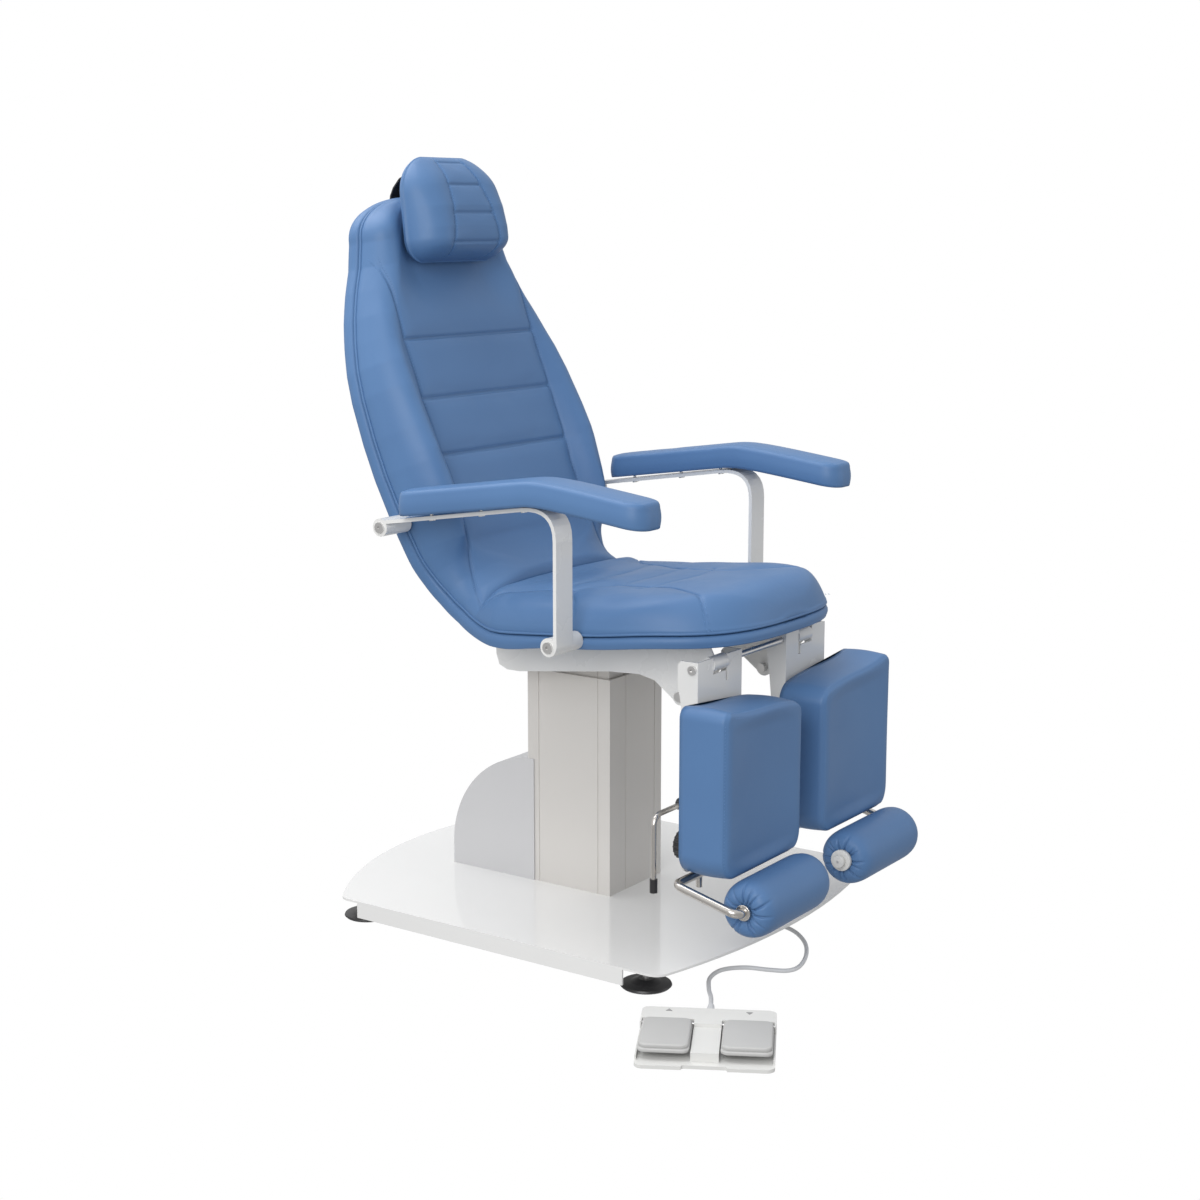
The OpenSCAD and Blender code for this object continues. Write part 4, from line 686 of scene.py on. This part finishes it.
# ---- back cushion ----
backLook = {
    "base": 30.3, "rim": 9.0, "thick": 73.0, "bolsterThick": 107.0, "edgeRound": 52.0, "topRound": 72.0,
    "seamWidth": 3.0, "seamDepth": 5.0, "seamRim": 3.0, "seamFade": 12.0, "rows": (926, 1039, 1162),
    "rowHalf": 203.0, "blend": 42.0, "headFrom": 0.7, "headDip": 0.4, "headSoft": 0.16, "headHalf": 205.0,
    "headFade": 110.0, "topDip": 0.34, "topSoft": 0.2, "lowRound": 40.0, "lowSoft": 0.26,
    "seam": [(560, 244), (600, 228), (650, 214), (700, 208), (750, 202), (800, 199), (870, 197), (930, 203),
             (990, 204), (1045, 204), (1110, 203), (1164, 203), (1218, 201), (1260, 199), (1300, 199),
             (1330, 199), (1360, 197), (1378, 195)],
    "bolster": [(0, 0), (0.08, 0.1), (0.2, 0.7), (0.28, 1.0), (0.42, 1.0), (0.53, 0.67), (0.67, 0.33),
                (0.8, 0.1), (1.0, 0)],
}
backSeams = [curveThrough(backLook["seam"], 90), curveThrough(mirrored(backLook["seam"]), 90)]
backSeams += [np.stack([np.full(24, row), np.linspace(-backLook["rowHalf"], backLook["rowHalf"], 24)], 1)
              for row in backLook["rows"]]


def backTop(s, x):
    k = backLook
    w = halfWidth(s)
    t = np.clip(x / np.maximum(w, 1), -1, 1)
    side, top, low = w - np.abs(x), boardLength - s, s - creaseAt(t)
    v = (s - seatLook["crease"]) / (boardLength - seatLook["crease"])
    seamX = np.interp(s, backSeams[0][:, 0], backSeams[0][:, 1])
    a = smoothStep((np.abs(x) - seamX) / k["blend"])
    dip = k["headDip"] * smoothStep((v - k["headFrom"]) / k["headSoft"]) \
        * smoothStep((k["headHalf"] - np.abs(x)) / k["headFade"])
    middle = k["thick"] * (1 - dip)
    edge = (k["thick"] + (k["bolsterThick"] - k["thick"]) * shareAt(v, k["bolster"])) \
        * (1 - k["topDip"] * smoothStep((v - k["headFrom"]) / k["topSoft"]))
    full = middle + (edge - middle) * a
    corner = k["edgeRound"] * (1 + 2.0 * (1 - smoothStep(v / k["lowSoft"])))
    share = edgeShare(side, corner) * edgeShare(top, k["topRound"]) * creaseShare(low, k["lowRound"])
    h = k["rim"] + (full - k["rim"]) * share
    fade = smoothStep((side - k["seamRim"]) / k["seamFade"])
    return k["base"] + h - seamDip(s, x, k, backSeams) * fade * np.clip(share * 1.1, 0, 1)


def backPlace(s, x):
    return boardPoint(s, x, backTop(s, x))


def makeBackCushion():
    v, t = patch(300, 190, 1.2, 1.25)
    start = creaseAt(t) + seatLook["gap"]
    s = start + (boardLength - 2 * seatLook["gap"] - start) * v
    x = t * (halfWidth(s) - seatLook["inset"])
    softPiece("backCushion", boardPoint(s, x, backLook["base"]), backPlace(s, x), "seat", ["back_cushion"],
              3, 2.5, sewn=sewnDown(s, x, backSeams, halfWidth(s), v), cap=4.0)
    lines = [line[6:-8] for line in backSeams[:2]] + [line[1:-1] for line in backSeams[2:]]
    addStitches("backStitches", lines, backPlace, "seat")


# ---- piping that runs round the rim, between the band and the cushions ----
pipingLook = {"radius": 2.7, "height": 33.0, "inset": 0.6}


def rimLine():
    f = np.radians(np.linspace(0, 90, 60)) ** 1.35
    f = f / f[-1] * math.pi / 2
    front = board["frontRound"] * (1 - np.cos(f))
    side = np.linspace(board["frontRound"], boardLength - board["topRound"], 120)[1:-1]
    top = boardLength - board["topRound"] * (1 - np.cos(np.radians(np.linspace(90, 0, 40))))
    s = np.concatenate([front, side, top])
    w = np.maximum(halfWidth(np.clip(s, 1e-4, boardLength - 1e-4)) - pipingLook["inset"], 0)
    right = np.stack([s, -w], 1)
    left = np.stack([s, w], 1)[::-1]
    return np.concatenate([right[1:-1], left[1:-1]])


def makePiping():
    line = rimLine()
    points = boardPoint(line[:, 0], line[:, 1], pipingLook["height"])
    verts, faces = tubeMesh(placeMm(points), pipingLook["radius"] / 1000, 10, closed=True)
    piping = makePiece("rimPiping", verts, faces, "vinyl", "seat")


# ---- headrest pillow ----
pillowLook = {"low": -44.0, "height": 201.0, "back": 79.8, "width": 276.0, "thick": 90.0, "edge": 22.0,
              "lowCorner": 44.0, "highCorner": 72.0, "narrow": 0.07,
              "profile": [(0, 0.88), (0.12, 0.97), (0.3, 1.0), (0.5, 0.93), (0.72, 0.72), (0.9, 0.48),
                          (1, 0.36)],
              "panel": [(0.0, 60), (0.15, 70), (0.43, 61), (0.71, 50), (1.0, 38)],
              "rows": (0.15, 0.43, 0.71, 0.94), "lowRound": 40.0, "highRound": 50.0, "sideRound": 56.0,
              "backRise": 17.0, "backRound": 34.0, "backSide": 40.0, "seamWidth": 2.4, "seamDepth": 3.6}


def topPoint(q, x, h):
    a = math.radians(90 - board["topLean"])
    y0, z0, _ = boardPath(boardLength - board["top"])
    y, z = y0 + q * math.cos(a) - h * math.sin(a), z0 + q * math.sin(a) + h * math.cos(a)
    return np.stack(np.broadcast_arrays(x, y, z), -1)


pillowSeams = [curveThrough([(u * pillowLook["height"], side * x) for u, x in pillowLook["panel"]])
               for side in (1, -1)]
for share in pillowLook["rows"]:
    reach = shareAt(share, pillowLook["panel"])
    row = [np.full(12, share * pillowLook["height"]), np.linspace(-reach, reach, 12)]
    pillowSeams.append(np.stack(row, 1))


def pillowHalf(r):  # narrower and rounder towards the top
    k = pillowLook
    u = r / k["height"]
    return k["width"] / 2 * (1 - k["narrow"] * u) - roundOff(r + 0.3, k["lowCorner"]) \
        - roundOff(k["height"] - r + 0.3, k["highCorner"])


def pillowTop(r, x):  # front of the pillow at length r up from its lower edge
    k = pillowLook
    u = r / k["height"]
    side = pillowHalf(r) - np.abs(x)
    soft = edgeShare(r, k["lowRound"]) * edgeShare(k["height"] - r, k["highRound"]) \
        * edgeShare(side, k["sideRound"])
    h = k["edge"] + (k["thick"] - k["edge"]) * shareAt(u, k["profile"]) * soft
    return k["back"] + h - seamDip(r, x, k, pillowSeams) * soft


def pillowPlace(r, x):
    return topPoint(pillowLook["low"] + r, x, pillowTop(r, x))


def makePillow():
    k = pillowLook
    u, t = patch(120, 160, 1.4, 1.4)
    r = u * k["height"]
    near = np.minimum(r, k["height"] - r)
    half = pillowHalf(r)
    x = t * half
    rim = 1 - edgeShare(near, k["backRound"]) * edgeShare(half * (1 - np.abs(t)), k["backSide"])
    back = topPoint(k["low"] + r, x, k["back"] + k["backRise"] * rim)
    softPiece("headrestPillow", back, pillowPlace(r, x), "headrest", ["headrest_pillow"], 5, 2.0, True,
              sewn=sewnDown(r, x, pillowSeams, half, r / k["height"]), cap=4.0)
    addStitches("pillowStitches", [line[3:-3] for line in pillowSeams[:2]], pillowPlace, "headrest")


# ---- arm pads ----
armLook = {"middle": 342.5, "width": 86.0, "thick": 50.0, "rear": 182.0, "front": -361.0, "bendAt": -105.0,
           "rise": 49.5 / 345.0, "fall": 0.28, "soft": 45.0, "startZ": 799.5, "startY": 232.0, "bar": 3.8,
           "edge": 10.0, "crown": 0.05, "endPower": 2.6, "seamIn": 10.0, "seamDeep": 1.0, "seamWide": 1.8,
           "underRise": 3.0, "underRound": 6.0}


def armUnder(y):
    k = armLook
    d = np.maximum(0, k["bendAt"] - y)
    return k["startZ"] + k["bar"] + (k["startY"] - y) * k["rise"] \
        - k["fall"] * (np.hypot(d, k["soft"]) - k["soft"])


def makeArmPad(side, name, node):
    k = armLook
    u, t = patch(100, 40, 1.5, 1.5)
    length = k["rear"] - k["front"]
    near = np.minimum(u, 1 - u) * length
    w = k["width"] / 2 * rounding(near + 0.6, k["width"] / 2, k["endPower"])
    x = k["middle"] + t * w
    y = k["front"] + u * length
    edge = np.minimum(w * (1 - np.abs(t)), near)
    h = k["thick"] - roundOff(edge, k["edge"]) - k["crown"] * k["thick"] * t * t
    h = h - k["seamDeep"] * groove(edge - k["seamIn"], k["seamWide"])
    under = armUnder(y) + k["underRise"] * (1 - edgeShare(edge, k["underRound"]))
    low = np.stack(np.broadcast_arrays(side * x, y, under), -1)
    high = np.stack(np.broadcast_arrays(side * x, y, armUnder(y) + h), -1)
    softPiece(name, low, high, "seat", [node], 5, 2.2, sewn=edge < 11, cap=2.5)


# ---- calf pads ----
calfLook = {"inner": 38.0, "width": 270.0, "low": 217.0, "high": 309.0, "thick": 98.0, "face": -391.0,
            "edge": 12.0, "hollow": 8.0, "corner": 26.0, "lowCorner": 42.0, "seamAt": 7.0, "fall": 37.0,
            "wave": 26.0, "backRise": 2.5, "seamIn": 4.0, "seamDeep": 1.4, "seamWide": 1.8, "hollowFade": 40.0}


def calfTopAt(x):
    v = (x - calfLook["inner"]) / calfLook["width"]
    return calfLook["low"] + calfLook["high"] - calfLook["fall"] * (1 - v) \
        + calfLook["wave"] * v * (1 - v) * (0.5 - v) * 4


def calfSpot(side, u, t):  # front of a calf pad at shares u up and t across
    k = calfLook
    nearZ = np.minimum(u, 1 - u) * k["high"]
    w = k["width"] / 2 - roundOff((1 - u) * k["high"], k["corner"]) - roundOff(u * k["high"], k["lowCorner"])
    x = k["inner"] + k["width"] / 2 + t * w
    z = k["low"] + u * (calfTopAt(x) - k["low"])
    nearX = k["width"] / 2 * (1 - np.abs(t))
    edge = np.minimum(nearZ, nearX)
    corner = edgeShare(nearZ, k["edge"]) * edgeShare(nearX, k["edge"])
    deep = k["thick"] - k["edge"] * (1 - corner) \
        - k["hollow"] * (1 - t * t) * smoothStep(nearZ / k["hollowFade"])
    deep = deep - k["seamDeep"] * groove(edge - k["seamIn"], k["seamWide"])
    return np.stack(np.broadcast_arrays(side * x, k["face"] - deep, z), -1), corner


def makeCalfPad(side, name, node, body):
    k = calfLook
    u, t = patch(84, 70, 1.5, 1.5)
    high, corner = calfSpot(side, u, t)
    low = high.copy()
    low[..., 1] = k["face"] - k["backRise"] * (1 - corner)
    rim = np.minimum(np.minimum(u, 1 - u) * k["high"], k["width"] / 2 * (1 - np.abs(t)))
    softPiece(name, low, high, body, [node], 6, 2.6, sewn=rim < 5, cap=3.5)
    inU, inT = k["seamAt"] / k["high"], 1 - 2 * k["seamAt"] / k["width"]
    up = np.linspace(inU + 0.05, 0.95 - inU, 40)
    lines = [np.stack([up * k["high"], np.full(40, q * inT * k["width"] / 2)], 1) for q in (-1, 1)]
    lines += [np.stack([np.full(40, q * k["high"]), np.linspace(-0.84, 0.84, 40) * k["width"] / 2], 1)
              for q in (inU, 1 - inU)]
    addStitches(name + "Stitches", lines,
                lambda a, b: calfSpot(side, a / k["high"], 2 * b / k["width"])[0], body, (1,))


# ---- foot rolls with gathered ends ----
rollLook = {"start": 64.0, "length": 230.0, "bore": 8.6, "y": -520.0, "z": 171.0, "folds": 14,
            "reach": (26, 58), "deep": (2.2, 4.2), "turn": (-0.004, 0.004), "crease": 1.3, "widen": 0.035,
            "profile": [(3.5, 14), (0.5, 18), (-1.6, 24), (-2.0, 31), (0.5, 38.5), (5.5, 44.5), (13, 48.8),
                        (24, 51.2), (40, 52), (60, 52)]}


def makeRoll(side, name, node, body):
    k = rollLook
    draw = np.random.default_rng(7 + side)
    end = curveThrough(k["profile"], 46)
    run = np.concatenate([[0], np.cumsum(np.hypot(*np.diff(end, axis=0).T))])
    slope = np.gradient(end, axis=0)
    slope /= np.linalg.norm(slope, axis=1)[:, None]
    a = np.linspace(0, 2 * np.pi, 281)[:-1]
    rings = []
    for mirror in (False, True):
        along, radius = end[:, :1] + 0 * a, end[:, 1:] + 0 * a
        for q in range(k["folds"]):
            at = (q + draw.uniform(-0.3, 0.3)) * 2 * np.pi / k["folds"]
            reach, deep, turn = (draw.uniform(*k[part]) for part in ("reach", "deep", "turn"))
            off = (a[None, :] - at - turn * run[:, None] + np.pi) % (2 * np.pi) - np.pi
            width = k["crease"] + k["widen"] * run[:, None]
            cut = deep * np.exp(-(off * end[:, 1:] / width) ** 2) \
                * smoothStep((reach - run[:, None]) / reach * 1.6) * smoothStep(run[:, None] / 3)
            along = along + cut * slope[:, 1:]
            radius = radius - cut * slope[:, :1]
        if mirror:
            along, radius = (k["length"] - along)[::-1], radius[::-1]
        rings.append((k["start"] + along, radius))
    x = np.concatenate([rings[0][0], rings[1][0]])
    radius = np.concatenate([rings[0][1], rings[1][1]])
    ring = np.stack([side * x, k["y"] + radius * np.cos(a), k["z"] + radius * np.sin(a)], -1)
    bore = np.stack([side * x[[-1, 0]], k["y"] + k["bore"] * np.cos(a) + 0 * x[[-1, 0]],
                     k["z"] + k["bore"] * np.sin(a) + 0 * x[[-1, 0]]], -1)
    both = np.concatenate([ring, bore])
    rows, cols = both.shape[:2]
    faces = gridFaces(rows, cols, True) + closingFaces(rows, cols)
    roll = makePiece(name, placeMm(both.reshape(-1, 3)), faces, "vinyl", body)
    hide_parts(node)


# ---- hard pieces that the scene gives more shape ----


def inMetres(values):
    return [v / 1000 for v in values]


def finishHard(name, edge, look):  # the block just added gets its place in its mesh and soft edges
    obj = bpy.context.object
    obj.name = name
    bpy.ops.object.transform_apply()
    if edge:
        mod = obj.modifiers.new("soft edge", "BEVEL")
        mod.width, mod.segments, mod.limit_method, mod.angle_limit = edge / 1000, 3, "ANGLE", math.radians(40)
        applyAll(obj)
    obj.data.materials.append(materials[look])
    return obj


def roundedBlock(name, low, high, corner, edge, look):  # block with round upright corners
    low, high = inMetres(low), inMetres(high)
    bpy.ops.mesh.primitive_cube_add(size=1.0)
    obj = bpy.context.object
    obj.scale = [b - a for a, b in zip(low, high)]
    obj.location = [(a + b) / 2 for a, b in zip(low, high)]
    bpy.ops.object.transform_apply()
    bpy.context.tool_settings.mesh_select_mode = (False, True, False)
    bpy.ops.object.mode_set(mode="EDIT")
    bpy.ops.mesh.select_all(action="DESELECT")
    bpy.ops.object.mode_set(mode="OBJECT")
    places = [v.co for v in obj.data.vertices]
    for line in obj.data.edges:
        a, b = (places[i] for i in line.vertices)
        line.select = abs(a.z - b.z) > 1e-4
    bpy.ops.object.mode_set(mode="EDIT")
    bpy.ops.mesh.bevel(offset=corner / 1000, segments=8, affect="EDGES")
    bpy.ops.object.mode_set(mode="OBJECT")
    return finishHard(name, edge, look)


def roundPlug(name, start, length, radius, edge, look):  # short turned plug that lies along X
    start, length, radius = inMetres((start, length, radius))
    bpy.ops.mesh.primitive_cylinder_add(vertices=56, radius=radius, depth=length,
                                        rotation=(0, math.pi / 2, 0), location=(start + length / 2, 0, 0))
    return finishHard(name, edge, look)


def joinPieces(objs, name, body, turn=0.0, place=(0, 0, 0)):  # one finished piece, in its place on its body
    whole = objs[0]
    pickOnly(whole)
    for obj in objs[1:]:
        obj.select_set(True)
    if len(objs) > 1:
        bpy.ops.object.join()
    whole.name = whole.data.name = name
    whole.rotation_euler = (0, 0, math.radians(turn))
    whole.location = tuple(placeMm(place))
    bpy.ops.object.transform_apply()
    bpy.ops.object.shade_smooth_by_angle(angle=math.radians(35))
    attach(whole, body)
    return whole


# start beside the roll, length and radius of each part
retainerLook = {"hub": (-20.0, 9.0, 11.5), "disc": (-9.0, 8.6, 20.0), "slot": (-20.6, 1.2, 3.0),
                "ring": (0.6, 5.0, 14.5)}


def makeRetainers(side, hand):  # plug at the inner end of a roll, and ring round the tube at its outer end
    made = []
    for part, (start, length, radius) in retainerLook.items():
        base = rollLook["start"] + (rollLook["length"] if part == "ring" else 0.0)
        low = base + start if side > 0 else -(base + start + length)
        look = {"ring": "stainless", "slot": "zinc"}.get(part, "whitePlastic")
        made.append(roundPlug(part, low, length, radius, min(1.2, length / 4), look))
    whole = joinPieces(made, "rollEnds" + hand.capitalize(), "roll_arm_" + hand,
                       place=(0, rollLook["y"], rollLook["z"]))
    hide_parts("roll_retainers_" + hand)


# ---- pedals of the foot control ----
pedalLook = {"place": (-486.0, -565.0, 0.0), "turn": -61.0, "across": 68.0, "half": 42.5, "front": -76.0,
             "rear": 46.0, "low": 21.0, "step": 27.0, "high": 34.0, "corner": 12.0, "edge": 1.8,
             "upperCorner": 13.0, "upperEdge": 3.0, "inset": 1.5, "markAt": 84.0, "markTop": 30.5,
             "markRadius": 6.5, "markDepth": 0.8}


def makePedal(side, name, node):
    k = pedalLook
    left, right = side * k["across"] - k["half"], side * k["across"] + k["half"]
    lower = roundedBlock("lower", (left, k["front"], k["low"]), (right, k["rear"], k["step"]), k["corner"],
                         k["edge"], "pedalGrey")
    upper = roundedBlock("upper", (left + k["inset"], k["front"] + 5, k["step"] - k["inset"]),
                         (right - k["inset"], k["rear"] - 0.5, k["high"]), k["upperCorner"], k["upperEdge"],
                         "pedalGrey")
    whole = joinPieces([lower, upper], name, node, k["turn"], k["place"])
    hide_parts(node)


def makeArrow(side, name):  # plain direction mark on the ridge, raised by half a millimetre
    k = pedalLook
    radius, depth, *place = inMetres((k["markRadius"], k["markDepth"], side * k["across"], k["markAt"],
                                      k["markTop"] - 0.2))
    bpy.ops.mesh.primitive_cylinder_add(vertices=3, radius=radius, depth=depth, location=place,
                                        rotation=(0, 0, 0 if side < 0 else math.pi))
    joinPieces([finishHard(name, 0, "markGrey")], name, "base", k["turn"], k["place"])


makePedal(-1, "pedalUp", "pedal_up")
makePedal(1, "pedalDown", "pedal_down")
makeArrow(-1, "markUp")
makeArrow(1, "markDown")
makeRetainers(-1, "right")
makeRetainers(1, "left")
print("pedals, marks and roll ends made")

makeBoard()
makeSeatCushion()
makeBackCushion()
makePiping()
makePillow()
print("seat, back and headrest made")
for side, hand in ((-1, "right"), (1, "left")):
    makeArmPad(side, "armPad" + hand.capitalize(), "armrest_pad_" + hand)
    makeCalfPad(side, "calfPad" + hand.capitalize(), "calf_pad_" + hand, "calf_" + hand)
    makeRoll(side, "footRoll" + hand.capitalize(), "foot_roll_" + hand, "roll_" + hand)
print("arm pads, calf pads and rolls made")

# ---- light ----
lightPlan = [
    {"name": "keySoft", "place": (-4.6, -1.4, 2.6), "aim": (0.1, 0, 0.7), "size": 3.0, "power": 150},
    {"name": "fillSoft", "place": (2.6, -3.8, 1.6), "aim": (0.1, 0, 0.6), "size": 3.0, "power": 26},
    {"name": "topSoft", "place": (-0.4, 1.7, 4.0), "aim": (0.1, 0, 0.6), "size": 3.0, "power": 90},
]


def addLight(plan):
    data = bpy.data.lights.new(plan["name"], "AREA")
    data.energy = plan["power"]
    data.size = plan["size"]
    lamp = bpy.data.objects.new(plan["name"], data)
    lamp.location = plan["place"]
    lamp.rotation_euler = (Vector(plan["aim"]) - Vector(plan["place"])).to_track_quat("-Z", "Y").to_euler()
    bpy.context.scene.collection.objects.link(lamp)


for plan in lightPlan:
    addLight(plan)


def makeWorld():
    world = bpy.data.worlds.new("studioWhite")
    bpy.context.scene.world = world
    world.use_nodes = True
    tree = world.node_tree
    tree.nodes.clear()
    where = addNode(tree, "ShaderNodeTexCoord")
    split = addNode(tree, "ShaderNodeSeparateXYZ", {0: where.outputs["Generated"]})
    lean = addNode(tree, "ShaderNodeMath", {0: split.outputs["Y"], 1: 0.42, 2: split.outputs["Z"]},
                   operation="MULTIPLY_ADD")
    ramp = addNode(tree, "ShaderNodeValToRGB", {"Fac": lean.outputs[0]})
    for end, place, grey in zip(ramp.color_ramp.elements, (0.0, 0.8), (0.55, 1.0)):
        end.position, end.color = place, (grey, grey, grey, 1)
    lit = addNode(tree, "ShaderNodeBackground", {"Color": ramp.outputs["Color"], "Strength": 0.9})
    seen = addNode(tree, "ShaderNodeBackground", {"Color": (1, 1, 1, 1)})
    rays = addNode(tree, "ShaderNodeLightPath")
    pick = addNode(tree, "ShaderNodeMixShader",
                   {"Fac": rays.outputs["Is Camera Ray"], 1: lit.outputs[0], 2: seen.outputs[0]})
    addNode(tree, "ShaderNodeOutputWorld", {"Surface": pick.outputs[0]})


makeWorld()
bpy.context.scene.view_settings.view_transform = "Standard"
print("light set")
